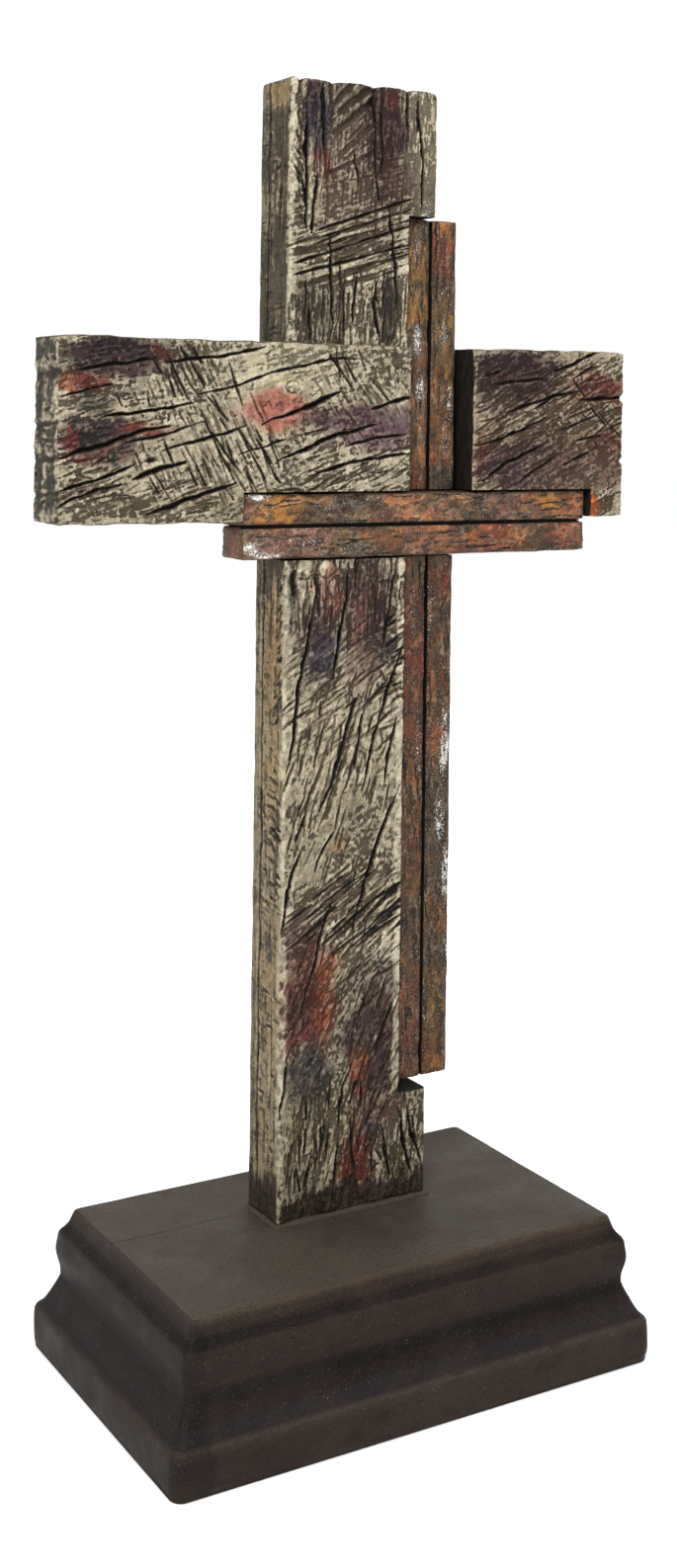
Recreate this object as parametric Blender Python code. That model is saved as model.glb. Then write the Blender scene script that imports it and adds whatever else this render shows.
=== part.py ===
"""Tabletop cross: a cast cross carved like weathered planks, four metal-look bars let into it, on a moulded base.

Metres, +Z up. The cross faces -Y. X is 0 at the middle of the upright, Y is 0 at the middle of the base
from front to back, and Z is 0 at the underside of the base.
"""

import math

import bmesh
import bpy
from mathutils import Vector, noise

# Base
BASE_TOP_WIDTH = 0.1300
BASE_TOP_DEPTH = 0.0765
BASE_HEIGHT = 0.0390
BASE_CENTRE_X = -0.0032
TOP_EDGE_DROP = 0.0037
TOP_EDGE_REACH = 0.0012
SHOULDER_TOP = 0.0330
SHOULDER_FOOT = 0.0232
SHOULDER_REACH = 0.0041
NECK_HEIGHT = 0.0205
NECK_REACH = 0.0030
COVE_BEND = 0.7
PLINTH_HEIGHT = 0.0115
PLINTH_REACH = 0.0088
PLINTH_ARRIS = 0.0007
FOOT_HEIGHT = 0.0012
FOOT_INSET = 0.0008
CORNER_RADIUS = 0.0012
CORNER_GROWTH = 0.25
PLANK_LINE_FROM_FRONT = 0.0503
PLANK_LINE_WIDTH = 0.0007

# Upright
UPRIGHT_WIDTH = 0.0487
UPRIGHT_THICKNESS = 0.0170
UPRIGHT_HEIGHT = 0.3170
UPRIGHT_FROM_BASE_FRONT = 0.0376

# Crossbeam
BEAM_LENGTH = 0.1846
BEAM_HEIGHT = 0.0505
BEAM_BELOW_TOP = 0.0730
BEAM_PROUD = 0.0020
BEAM_SHORT_BEHIND = 0.0020
BEAM_FLARE = 0.0012

# Bars
BAR_WIDTH = 0.0086
BAR_SEAM = 0.0013
SEAM_DEPTH = 0.0040
CROSSWISE_LENGTH = 0.1166
CROSSWISE_PAST_LEFT = 0.0138
CROSSWISE_PROUD = 0.0015
CROSSWISE_LAP = 0.0065
UPRIGHT_BARS_BACK_FROM_FACE = 0.0024
UPRIGHT_BARS_FROM_TOP = 0.0364
UPRIGHT_BARS_LENGTH = 0.2480

# Housings for the bars
HOUSING_DEPTH = 0.0122
FIT = 0.0003
FLUSH_INSET = 0.0001
CHANNEL_GAP = 0.0030
OVER_BAR_GAP = 0.0014
UNDER_BAR_GAP = 0.0018
END_GAP = 0.0022
LEDGE_GAP = 0.0018

# Carving
LATTICE = 0.0076
ARRIS = 0.0012
WAVE_SIZE = 0.020
WAVE_HEIGHT = 0.0005
TOP_CREASES = (0.06, 0.28, 0.56, 0.79, 1.0)
TOP_CREASE_DEPTH = 0.0014
CRACK_WIDTH = 0.0011
CRACK_DEPTH = 0.0010
SAW_CUTS = 5
SAW_CUT_STEP = 0.0027
SAW_CUT_RISE = 0.33

# Cracks, each as shares of its board: across, along at one end, across, along at the other, and its weight.
# Along the upright they run from its foot to its top, across it from left to right.
UPRIGHT_CRACKS = (
    (0.11, 0.978, 0.12, 0.868, 1.0),
    (0.85, 0.989, 0.90, 0.895, 1.3),
    (0.68, 0.895, 0.74, 0.809, 1.1),
    (0.28, 0.862, 0.30, 0.785, 1.2),
    (0.60, 0.828, 0.62, 0.776, 1.0),
    (0.21, 0.554, 0.04, 0.395, 1.3),
    (0.42, 0.570, 0.33, 0.473, 1.3),
    (0.50, 0.458, 0.25, 0.357, 1.3),
    (0.80, 0.500, 0.53, 0.372, 1.1),
    (0.78, 0.373, 0.47, 0.241, 1.2),
    (0.15, 0.328, 0.03, 0.257, 1.1),
    (0.35, 0.279, 0.14, 0.177, 1.0),
    (0.76, 0.181, 0.65, 0.138, 1.0),
    (0.83, 0.079, 0.91, 0.021, 1.4),
)
# Along the crossbeam they run from its left end to its right end, across it from its underside to its top.
BEAM_CRACKS = (
    (0.82, 0.020, 0.89, 0.153, 1.0),
    (0.57, 0.056, 0.66, 0.213, 1.2),
    (0.34, 0.004, 0.53, 0.173, 1.9),
    (0.17, 0.010, 0.31, 0.118, 1.3),
    (0.23, 0.116, 0.33, 0.199, 1.8),
    (0.05, 0.139, 0.22, 0.281, 1.8),
    (0.70, 0.216, 0.90, 0.450, 1.0),
    (0.54, 0.322, 0.73, 0.457, 1.6),
    (0.33, 0.348, 0.54, 0.520, 1.5),
    (0.80, 0.730, 0.85, 0.833, 1.2),
    (0.85, 0.841, 0.97, 0.945, 1.4),
    (0.63, 0.807, 0.76, 0.904, 1.2),
    (0.43, 0.715, 0.60, 0.842, 1.3),
    (0.25, 0.725, 0.44, 0.835, 1.2),
)
# Where the deepest cracks come out at the ends of the crossbeam: side, share of its height, half width, depth.
END_NOTCHES = ((-1, 0.82, 0.0014, 0.0009), (-1, 0.54, 0.0011, 0.0009), (-1, 0.36, 0.0009, 0.0010),
               (1, 0.725, 0.0012, 0.0013), (1, 0.335, 0.0013, 0.0021))

# Places worked out from the sizes
UPRIGHT_FRONT = -BASE_TOP_DEPTH / 2 + UPRIGHT_FROM_BASE_FRONT
UPRIGHT_BACK = UPRIGHT_FRONT + UPRIGHT_THICKNESS
UPRIGHT_FOOT = BASE_HEIGHT + FIT
UPRIGHT_TOP = BASE_HEIGHT + UPRIGHT_HEIGHT
UPRIGHT_RIGHT = UPRIGHT_WIDTH / 2
BEAM_TOP = UPRIGHT_TOP - BEAM_BELOW_TOP
BEAM_UNDERSIDE = BEAM_TOP - BEAM_HEIGHT
BEAM_FRONT = UPRIGHT_FRONT - BEAM_PROUD
BEAM_BACK = UPRIGHT_BACK - BEAM_SHORT_BEHIND
HOUSING_BACK = UPRIGHT_FRONT + HOUSING_DEPTH
BARS_BACK = HOUSING_BACK - FIT
INNER_RIGHT = UPRIGHT_RIGHT - FLUSH_INSET - BAR_SEAM / 2
INNER_LEFT = INNER_RIGHT - BAR_WIDTH
OUTER_LEFT = INNER_RIGHT + BAR_SEAM
OUTER_RIGHT = OUTER_LEFT + BAR_WIDTH
SEAM_X = (INNER_RIGHT + OUTER_LEFT) / 2
CHANNEL_LEFT = INNER_LEFT - FIT
CHANNEL_RIGHT = OUTER_RIGHT + CHANNEL_GAP
UPRIGHT_BARS_TOP = UPRIGHT_TOP - UPRIGHT_BARS_FROM_TOP
UPRIGHT_BARS_FOOT = UPRIGHT_BARS_TOP - UPRIGHT_BARS_LENGTH
UPRIGHT_BARS_FRONT = UPRIGHT_FRONT + UPRIGHT_BARS_BACK_FROM_FACE
CHANNEL_TOP = UPRIGHT_BARS_TOP + FIT
CHANNEL_FOOT = UPRIGHT_BARS_FOOT - LEDGE_GAP
CROSSWISE_LEFT = -UPRIGHT_WIDTH / 2 - CROSSWISE_PAST_LEFT
CROSSWISE_RIGHT = CROSSWISE_LEFT + CROSSWISE_LENGTH
CROSSWISE_FRONT = UPRIGHT_FRONT - CROSSWISE_PROUD
UPPER_FOOT = BEAM_UNDERSIDE
UPPER_TOP = UPPER_FOOT + BAR_WIDTH
LOWER_TOP = UPPER_FOOT - BAR_SEAM
LOWER_FOOT = LOWER_TOP - BAR_WIDTH
SEAM_Z = (UPPER_FOOT + LOWER_TOP) / 2
LAP_BACK = CROSSWISE_FRONT + CROSSWISE_LAP


def new_collection(name):
    collection = bpy.data.collections.new(name)
    bpy.context.scene.collection.children.link(collection)
    return collection


def material(name, colour, roughness, metallic=0.0):
    made = bpy.data.materials.new(name)
    made.use_nodes = True
    shader = made.node_tree.nodes["Principled BSDF"]
    shader.inputs["Base Color"].default_value = (*colour, 1.0)
    shader.inputs["Roughness"].default_value = roughness
    shader.inputs["Metallic"].default_value = metallic
    made.diffuse_color = (*colour, 1.0)
    return made


def object_from(bm, name, collection, finish=None):
    """Turn a bmesh into a named object, with faces that are all flat."""
    bmesh.ops.recalc_face_normals(bm, faces=bm.faces)
    bmesh.ops.triangulate(bm, faces=[face for face in bm.faces if len(face.verts) == 4])
    mesh = bpy.data.meshes.new(name)
    bm.to_mesh(mesh)
    bm.free()
    if finish:
        mesh.materials.append(finish)
    made = bpy.data.objects.new(name, mesh)
    collection.objects.link(made)
    return made


def as_cutter(thing):
    thing.hide_render = True
    thing.display_type = "WIRE"
    return thing


def add_boolean(target, operand, operation, crossing=False):
    """Join or cut the target; crossing says that the operand's own bodies may cross each other."""
    boolean = target.modifiers.new(operand.name, "BOOLEAN")
    boolean.object = operand
    boolean.operation = operation
    boolean.solver = "EXACT"
    boolean.use_self = crossing


def add_box(bm, low, high):
    """Add a plain box between two corners."""
    made = bmesh.ops.create_cube(bm, size=1.0)["verts"]
    bmesh.ops.scale(bm, vec=Vector(high) - Vector(low), verts=made)
    bmesh.ops.translate(bm, vec=(Vector(low) + Vector(high)) / 2, verts=made)


def add_loft(bm, rings):
    """Add a closed body through rings that have the same number of points."""
    loops = [[bm.verts.new(point) for point in ring] for ring in rings]
    for below, above in zip(loops, loops[1:]):
        for i in range(len(below)):
            following = (i + 1) % len(below)
            bm.faces.new((below[i], below[following], above[following], above[i]))
    bm.faces.new(reversed(loops[0]))
    bm.faces.new(loops[-1])


def sliced_block(low, high, pitch):
    """A block cut into a lattice of faces, with a narrow band along each arris, ready to be carved."""
    bm = bmesh.new()
    add_box(bm, low, high)
    for axis in range(3):
        normal = Vector([float(axis == i) for i in range(3)])
        first = low[axis] + ARRIS
        last = high[axis] - ARRIS
        count = max(1, round((last - first) / pitch[axis]))
        for i in range(count + 1):
            place = first + (last - first) * i / count
            geometry = bm.verts[:] + bm.edges[:] + bm.faces[:]
            bmesh.ops.bisect_plane(bm, geom=geometry, dist=1e-7, plane_co=normal * place, plane_no=normal)
    return bm


def wave(point, seed):
    """Gentle unevenness of a carved face, from -1 to 1."""
    return noise.noise(Vector(point) / WAVE_SIZE + Vector((seed, 1.7 * seed, 0.3 * seed)))


def carve_block(bm, low, high, depth, seed):
    """Round the arrises and sink every face by an uneven depth, so the block never grows."""
    for vert in bm.verts:
        outer = [axis for axis in range(3)
                 if abs(vert.co[axis] - low[axis]) < 1e-6 or abs(vert.co[axis] - high[axis]) < 1e-6]
        rounding = ARRIS * 0.35 if len(outer) > 1 else 0.0
        start = vert.co.copy()
        for axis in outer:
            inward = 1.0 if start[axis] < (low[axis] + high[axis]) / 2 else -1.0
            sunk = depth[axis] * (0.5 + 0.5 * wave(start, seed + 11.0 * axis))
            vert.co[axis] += inward * (rounding + sunk)


def crack_rings(ends, face, width, depth):
    """Triangular rings of a cutter that sinks a tapering V groove into a front face.

    The line bends slightly between its two ends, as a split in timber does.
    """
    start, end = (Vector(point) for point in ends)
    along = (end - start).normalized()
    side = Vector((-along.z, 0.0, along.x))
    above = 2.0 * depth
    rings = []
    for share, bend, size in ((0.0, 0.0, 0.25), (0.3, 0.45, 0.9), (0.68, -0.35, 1.0), (1.0, 0.0, 0.25)):
        middle = start.lerp(end, share) + side * (bend * width)
        half = width / 2 * size * (depth + above) / depth
        rings.append((
            Vector((middle.x, face - above, middle.z)) - side * half,
            Vector((middle.x, face - above, middle.z)) + side * half,
            Vector((middle.x, face + depth * size, middle.z)),
        ))
    return rings


def base_profile():
    """Reach beyond the top's edge and height, from the underside of the plinth to the top."""
    plinth_edge = PLINTH_REACH - PLINTH_ARRIS
    points = [(plinth_edge, FOOT_HEIGHT), (PLINTH_REACH - 0.0001, FOOT_HEIGHT + PLINTH_ARRIS)]
    points += [(PLINTH_REACH, PLINTH_HEIGHT * 0.6), (PLINTH_REACH - 0.0002, PLINTH_HEIGHT - PLINTH_ARRIS)]
    for i in range(7):
        share = i / 6
        points.append((plinth_edge + (NECK_REACH - plinth_edge) * share ** COVE_BEND,
                       PLINTH_HEIGHT + (NECK_HEIGHT - PLINTH_HEIGHT) * share))
    bulge = SHOULDER_REACH - NECK_REACH
    shoulder = SHOULDER_TOP - SHOULDER_FOOT
    points.append((NECK_REACH, SHOULDER_FOOT - 0.10 * shoulder))
    for share, out in ((0.10, 0.30), (0.27, 0.75), (0.45, 1.0), (0.62, 0.85), (0.82, 0.55), (1.0, 0.25)):
        points.append((NECK_REACH + bulge * out, SHOULDER_FOOT + shoulder * share))
    top_edge = BASE_HEIGHT - TOP_EDGE_DROP
    points.append(((NECK_REACH + TOP_EDGE_REACH) / 2, (SHOULDER_TOP + top_edge) / 2 - 0.0003))
    points += [(TOP_EDGE_REACH, top_edge), (TOP_EDGE_REACH / 2, BASE_HEIGHT - TOP_EDGE_DROP / 2)]
    points += [(0.0, BASE_HEIGHT - 0.0004), (-0.0008, BASE_HEIGHT)]
    return points


def rounded_rectangle(reach, height):
    """A ring round the base at one height, with corners that are rounder the further out it lies."""
    radius = CORNER_RADIUS + max(reach, 0.0) * CORNER_GROWTH
    half_width = BASE_TOP_WIDTH / 2 + reach
    half_depth = BASE_TOP_DEPTH / 2 + reach
    ring = []
    for corner, (sx, sy) in enumerate(((1, 1), (-1, 1), (-1, -1), (1, -1))):
        for i in range(4):
            turn = math.radians(90 * corner + 30 * i)
            ring.append(Vector((
                BASE_CENTRE_X + sx * (half_width - radius) + radius * math.cos(turn),
                sy * (half_depth - radius) + radius * math.sin(turn),
                height,
            )))
    return ring


def make_base(collection, cutters, finish):
    """The moulded base: foot, plinth, cove, neck, shoulder and top, with the plank line across its top."""
    bm = bmesh.new()
    foot = PLINTH_REACH - FOOT_INSET
    rings = [rounded_rectangle(foot, 0.0), rounded_rectangle(foot, FOOT_HEIGHT)]
    rings += [rounded_rectangle(reach, height) for reach, height in base_profile()]
    add_loft(bm, rings)
    base = object_from(bm, "base", collection, finish)
    bm = bmesh.new()
    line = -BASE_TOP_DEPTH / 2 + PLANK_LINE_FROM_FRONT
    rings = []
    for x in (BASE_CENTRE_X - BASE_TOP_WIDTH, BASE_CENTRE_X + BASE_TOP_WIDTH):
        rings.append((Vector((x, line - PLANK_LINE_WIDTH, BASE_HEIGHT + PLANK_LINE_WIDTH)),
                      Vector((x, line + PLANK_LINE_WIDTH, BASE_HEIGHT + PLANK_LINE_WIDTH)),
                      Vector((x, line, BASE_HEIGHT - PLANK_LINE_WIDTH))))
    add_loft(bm, rings)
    add_boolean(base, as_cutter(object_from(bm, "plank_line", cutters)), "DIFFERENCE")
    return base


def lobed_top(across):
    """How far the sawn top sinks at a share of the upright's width: lobes with creases between them."""
    for left, right in zip((0.0, *TOP_CREASES), TOP_CREASES):
        if across <= right + 1e-6:
            middle = (across - left) / (right - left)
            return TOP_CREASE_DEPTH * (1 - math.sin(math.pi * min(max(middle, 0.0), 1.0)) ** 0.6)
    return TOP_CREASE_DEPTH


def make_upright(collection, finish):
    """The upright board with its lobed top, before the crossbeam joins it."""
    low = (-UPRIGHT_WIDTH / 2, UPRIGHT_FRONT, UPRIGHT_FOOT)
    high = (UPRIGHT_RIGHT, UPRIGHT_BACK, UPRIGHT_TOP)
    bm = sliced_block(low, high, (LATTICE * 0.8, UPRIGHT_THICKNESS, LATTICE))
    carve_block(bm, low, high, (WAVE_HEIGHT, WAVE_HEIGHT, 0.0), 2.0)
    reach = 2 * LATTICE
    for vert in bm.verts:
        near_top = (vert.co.z - (UPRIGHT_TOP - reach)) / reach
        if near_top > 0:
            across = (vert.co.x - low[0]) / UPRIGHT_WIDTH
            vert.co.z -= lobed_top(across) * near_top
    return object_from(bm, "cross_body", collection, finish)


def make_crossbeam(cutters):
    """The crossbeam board, slightly taller at its right end, with its cracks coming out at the ends."""
    low = (-BEAM_LENGTH / 2, BEAM_FRONT, BEAM_UNDERSIDE)
    high = (BEAM_LENGTH / 2, BEAM_BACK, BEAM_TOP)
    bm = sliced_block(low, high, (LATTICE, UPRIGHT_THICKNESS, LATTICE * 0.8))
    carve_block(bm, low, high, (0.0, WAVE_HEIGHT, WAVE_HEIGHT), 5.0)
    for vert in bm.verts:
        along = vert.co.x / BEAM_LENGTH
        up = (vert.co.z - (BEAM_TOP + BEAM_UNDERSIDE) / 2) / BEAM_HEIGHT
        vert.co.z += BEAM_FLARE * along * up * 2
    beam = as_cutter(object_from(bm, "crossbeam_board", cutters))
    bm = bmesh.new()
    for side, share, half, depth in END_NOTCHES:
        end = side * BEAM_LENGTH / 2
        height = BEAM_UNDERSIDE + BEAM_HEIGHT * share
        outside = end + side * depth
        rings = []
        for y in (BEAM_FRONT - BEAM_PROUD, BEAM_BACK + BEAM_PROUD):
            rings.append((Vector((outside, y, height - 2 * half)), Vector((outside, y, height + 2 * half)),
                          Vector((end - side * depth, y, height))))
        add_loft(bm, rings)
    add_boolean(beam, as_cutter(object_from(bm, "end_notches", cutters)), "DIFFERENCE")
    return beam


def make_cracks(cutters):
    """Cutters for the splits that run with the grain and the saw cuts near the top."""
    grain = bmesh.new()
    for x0, z0, x1, z1, weight in UPRIGHT_CRACKS:
        ends = [(UPRIGHT_WIDTH * (x - 0.5), 0.0, UPRIGHT_FOOT + UPRIGHT_HEIGHT * z) for x, z in ((x0, z0), (x1, z1))]
        add_loft(grain, crack_rings(ends, UPRIGHT_FRONT, CRACK_WIDTH * weight, CRACK_DEPTH * weight))
    for z0, x0, z1, x1, weight in BEAM_CRACKS:
        ends = [(BEAM_LENGTH * (x - 0.5), 0.0, BEAM_UNDERSIDE + BEAM_HEIGHT * z) for x, z in ((x0, z0), (x1, z1))]
        add_loft(grain, crack_rings(ends, BEAM_FRONT, CRACK_WIDTH * weight, CRACK_DEPTH * weight))
    saw = bmesh.new()
    for i in range(SAW_CUTS):
        height = UPRIGHT_BARS_TOP - SAW_CUT_STEP * i
        reach = UPRIGHT_WIDTH * (0.30 + 0.03 * (i % 2))
        ends = [(x - UPRIGHT_WIDTH * 0.03, 0.0, height + SAW_CUT_RISE * x) for x in (-reach, reach)]
        add_loft(saw, crack_rings(ends, UPRIGHT_FRONT, CRACK_WIDTH, CRACK_DEPTH * 0.7))
    return (as_cutter(object_from(grain, "grain_cracks", cutters)),
            as_cutter(object_from(saw, "saw_cuts", cutters)))


def make_housings(cutters):
    """The channel for the upright bars and the housing for the crosswise bars."""
    front = BEAM_FRONT - HOUSING_DEPTH
    channel = bmesh.new()
    add_box(channel, (CHANNEL_LEFT, front, CHANNEL_FOOT), (CHANNEL_RIGHT, HOUSING_BACK, CHANNEL_TOP))
    housing = bmesh.new()
    add_box(housing, (CROSSWISE_LEFT - FIT, front, LOWER_FOOT - UNDER_BAR_GAP),
            (CROSSWISE_RIGHT + END_GAP, HOUSING_BACK, UPPER_TOP + OVER_BAR_GAP))
    return (as_cutter(object_from(channel, "upright_channel", cutters)),
            as_cutter(object_from(housing, "crosswise_housing", cutters)))


def make_cross_body(collection, cutters, finish):
    """Upright and crossbeam as one casting, with housings and cracks."""
    body = make_upright(collection, finish)
    add_boolean(body, make_crossbeam(cutters), "UNION")
    for housing in make_housings(cutters):
        add_boolean(body, housing, "DIFFERENCE")
    for cracks in make_cracks(cutters):
        add_boolean(body, cracks, "DIFFERENCE", crossing=True)
    return body


def make_bar(name, low, high, cuts, seed, collection, cutters, finish):
    """A bar with uneven faces, cut by the boxes that make its lap and its share of the seam."""
    pitch = [LATTICE * 1.4] * 3
    bm = sliced_block(low, high, pitch)
    sunk = 0.00022
    carve_block(bm, low, high, (sunk, sunk, sunk), seed)
    bar = object_from(bm, name, collection, finish)
    for kind, cut_low, cut_high in cuts:
        bm = bmesh.new()
        add_box(bm, cut_low, cut_high)
        add_boolean(bar, as_cutter(object_from(bm, name + "_" + kind, cutters)), "DIFFERENCE")
    return bar


def make_bars(collection, cutters, finish):
    """Four bars: the crosswise pair in front, halved into the upright pair."""
    past = ARRIS * 4
    seam_back = CROSSWISE_FRONT + SEAM_DEPTH
    lap_left = INNER_LEFT - FIT
    lap_right = OUTER_RIGHT + FIT
    pairs = (
        ("crosswise_bar_upper", SEAM_Z + FIT / 2, UPPER_TOP, (SEAM_Z - past, UPPER_FOOT), 3.0),
        ("crosswise_bar_lower", LOWER_FOOT, SEAM_Z - FIT / 2, (LOWER_TOP, SEAM_Z + past), 4.0),
    )
    for name, foot, top, seam, seed in pairs:
        cuts = (
            ("seam", (CROSSWISE_LEFT - past, CROSSWISE_FRONT - past, seam[0]),
             (CROSSWISE_RIGHT + past, seam_back, seam[1])),
            ("lap", (lap_left, LAP_BACK, foot - past), (lap_right, BARS_BACK + past, top + past)),
        )
        make_bar(name, (CROSSWISE_LEFT, CROSSWISE_FRONT, foot), (CROSSWISE_RIGHT, BARS_BACK, top),
                 cuts, seed, collection, cutters, finish)
    seam_back = UPRIGHT_BARS_FRONT + SEAM_DEPTH
    pairs = (
        ("upright_bar_inner", INNER_LEFT, SEAM_X - FIT / 2, (INNER_RIGHT, SEAM_X + past), 6.0),
        ("upright_bar_outer", SEAM_X + FIT / 2, OUTER_RIGHT, (SEAM_X - past, OUTER_LEFT), 7.0),
    )
    for name, left, right, seam, seed in pairs:
        cuts = (
            ("seam", (seam[0], UPRIGHT_BARS_FRONT - past, UPRIGHT_BARS_FOOT - past),
             (seam[1], seam_back, UPRIGHT_BARS_TOP + past)),
            ("lap", (left - past, UPRIGHT_BARS_FRONT - past, LOWER_FOOT - FIT),
             (right + past, LAP_BACK + FIT, UPPER_TOP + FIT)),
        )
        make_bar(name, (left, UPRIGHT_BARS_FRONT, UPRIGHT_BARS_FOOT), (right, BARS_BACK, UPRIGHT_BARS_TOP),
                 cuts, seed, collection, cutters, finish)


def main():
    for thing in list(bpy.data.objects):
        bpy.data.objects.remove(thing)
    parts = new_collection("tabletop_cross")
    cutters = new_collection("cutters")
    dark_brown = material("dark_brown_base", (0.058, 0.047, 0.040), 0.45)
    weathered_cream = material("weathered_cream", (0.46, 0.42, 0.31), 0.72)
    copper_patina = material("copper_patina", (0.36, 0.17, 0.08), 0.38, 0.55)
    make_base(parts, cutters, dark_brown)
    make_cross_body(parts, cutters, weathered_cream)
    make_bars(parts, cutters, copper_patina)


main()
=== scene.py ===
import math

import bmesh
import bpy
import numpy as np
from mathutils import Matrix, Vector
from mathutils.kdtree import KDTree


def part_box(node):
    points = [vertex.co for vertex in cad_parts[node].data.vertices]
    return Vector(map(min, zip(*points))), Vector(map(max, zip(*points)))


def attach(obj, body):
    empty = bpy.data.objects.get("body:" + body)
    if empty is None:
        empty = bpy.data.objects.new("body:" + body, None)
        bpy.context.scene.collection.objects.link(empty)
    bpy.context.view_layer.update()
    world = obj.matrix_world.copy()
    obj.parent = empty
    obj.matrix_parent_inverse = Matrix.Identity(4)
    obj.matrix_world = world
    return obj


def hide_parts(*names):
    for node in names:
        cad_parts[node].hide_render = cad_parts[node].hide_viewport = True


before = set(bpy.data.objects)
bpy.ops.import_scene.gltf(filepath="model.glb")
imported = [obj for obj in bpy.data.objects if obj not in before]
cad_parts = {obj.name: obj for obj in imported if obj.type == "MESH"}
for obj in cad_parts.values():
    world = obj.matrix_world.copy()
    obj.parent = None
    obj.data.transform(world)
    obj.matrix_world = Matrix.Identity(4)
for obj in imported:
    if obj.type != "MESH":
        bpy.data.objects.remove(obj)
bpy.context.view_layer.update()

# Lengths in this file are millimetres in the model's frame; meshes are made in metres.
MM = 0.001
SEED = np.random.default_rng(20)


def box_mm(node):
    """Lowest and highest corner of a CAD node in millimetres."""
    low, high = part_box(node)
    return np.array(low) / MM, np.array(high) / MM


# Colours

def srgb(red, green, blue):
    """Linear colour from screen values of 0 to 255."""
    value = np.array([red, green, blue]) / 255.0
    return np.where(value <= 0.04045, value / 12.92, ((value + 0.055) / 1.055) ** 2.4)


CREAM_LIGHT = srgb(212, 204, 182)
CREAM = srgb(184, 175, 153)
CREAM_SHADE = srgb(150, 141, 119)
OLIVE = srgb(106, 97, 72)
GREY_WASH = srgb(83, 75, 61)
WASH = srgb(60, 51, 39)
CRACK_WASH_AND_SHADE = srgb(18, 13, 10)
# Brown of the wash, also used as painted shade in hollows, flutes, gouges and beside the splits.
WASH_AND_SHADE_BROWN = srgb(88, 70, 46)
STAINS = {
    "plum": srgb(76, 50, 54),
    "plum_dark": srgb(57, 40, 44),
    "umber": srgb(96, 84, 72),
    "slate": srgb(66, 59, 70),
    "slate_dark": srgb(68, 64, 64),
    "slate_green": srgb(62, 65, 62),
    "slate_purple": srgb(80, 60, 64),
    "purple": srgb(70, 47, 50),
    "mauve": srgb(122, 96, 84),
    "mauve_deep": srgb(108, 80, 88),
    "brick": srgb(112, 57, 47),
    "rose": srgb(150, 100, 86),
    "pink": srgb(168, 108, 94),
    "orange": srgb(156, 92, 58),
    "amber": srgb(196, 112, 52),
    "orange_red": srgb(136, 72, 54),
    "tan": srgb(150, 120, 86),
    "brown_red": srgb(104, 72, 52),
    "olive_dark": srgb(80, 76, 62),
    "olive_tint": srgb(124, 114, 86),
    "ochre": srgb(152, 120, 72),
    "cream": srgb(192, 184, 156),
}


# Noise

def lattice(ix, iy, seed):
    """Fixed pseudo-random value from 0 to 1 at whole-number points."""
    n = (ix.astype(np.int64) * 374761393 + iy.astype(np.int64) * 668265263 + seed * 69069) & 0xFFFFFFFF
    n = ((n ^ (n >> 13)) * 1274126177) & 0xFFFFFFFF
    n = n ^ (n >> 16)
    return (n & 0xFFFFFF) / float(0xFFFFFF)


def value_noise(x, y, seed):
    ix, iy = np.floor(x), np.floor(y)
    fx, fy = x - ix, y - iy
    fx = fx * fx * (3 - 2 * fx)
    fy = fy * fy * (3 - 2 * fy)
    low = lattice(ix, iy, seed) * (1 - fx) + lattice(ix + 1, iy, seed) * fx
    high = lattice(ix, iy + 1, seed) * (1 - fx) + lattice(ix + 1, iy + 1, seed) * fx
    return 2 * (low * (1 - fy) + high * fy) - 1


def cloud(x, y, seed, octaves=4):
    """Layered noise from about -1 to 1."""
    total, size, weight = 0.0, 1.0, 0.0
    for i in range(octaves):
        total = total + size * value_noise(x * 2 ** i + 17.3 * i, y * 2 ** i - 9.1 * i, seed + i)
        weight += size
        size *= 0.55
    return total / weight * 1.5


def streaks(x, y, angle, length, width, seed, octaves=3):
    """Noise drawn out along an angle in degrees."""
    c, s = math.cos(math.radians(angle)), math.sin(math.radians(angle))
    return cloud((x * c + y * s) / length, (y * c - x * s) / width, seed, octaves)


def smooth(low, high, value):
    t = np.clip((value - low) / (high - low), 0.0, 1.0)
    return t * t * (3 - 2 * t)


def blend(under, over, share):
    return under + (over - under) * np.asarray(share)[..., None]


def steps_between(low, high, pitch):
    """Even steps from low to high, about a pitch apart and two at the least."""
    return np.linspace(low, high, max(2, round((high - low) / pitch)) + 1)


def blur(field, radius):
    """Box blur over a square of 2 * radius + 1 cells."""
    for axis in (0, 1):
        pad = [(0, 0), (0, 0)]
        pad[axis] = (radius + 1, radius)
        total = np.cumsum(np.pad(field, pad, mode="edge"), axis=axis)
        size = field.shape[axis]
        window = 2 * radius + 1
        field = (np.take(total, np.arange(window, window + size), axis)
                 - np.take(total, np.arange(0, size), axis)) / window
    return field


# Carved faces

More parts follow.
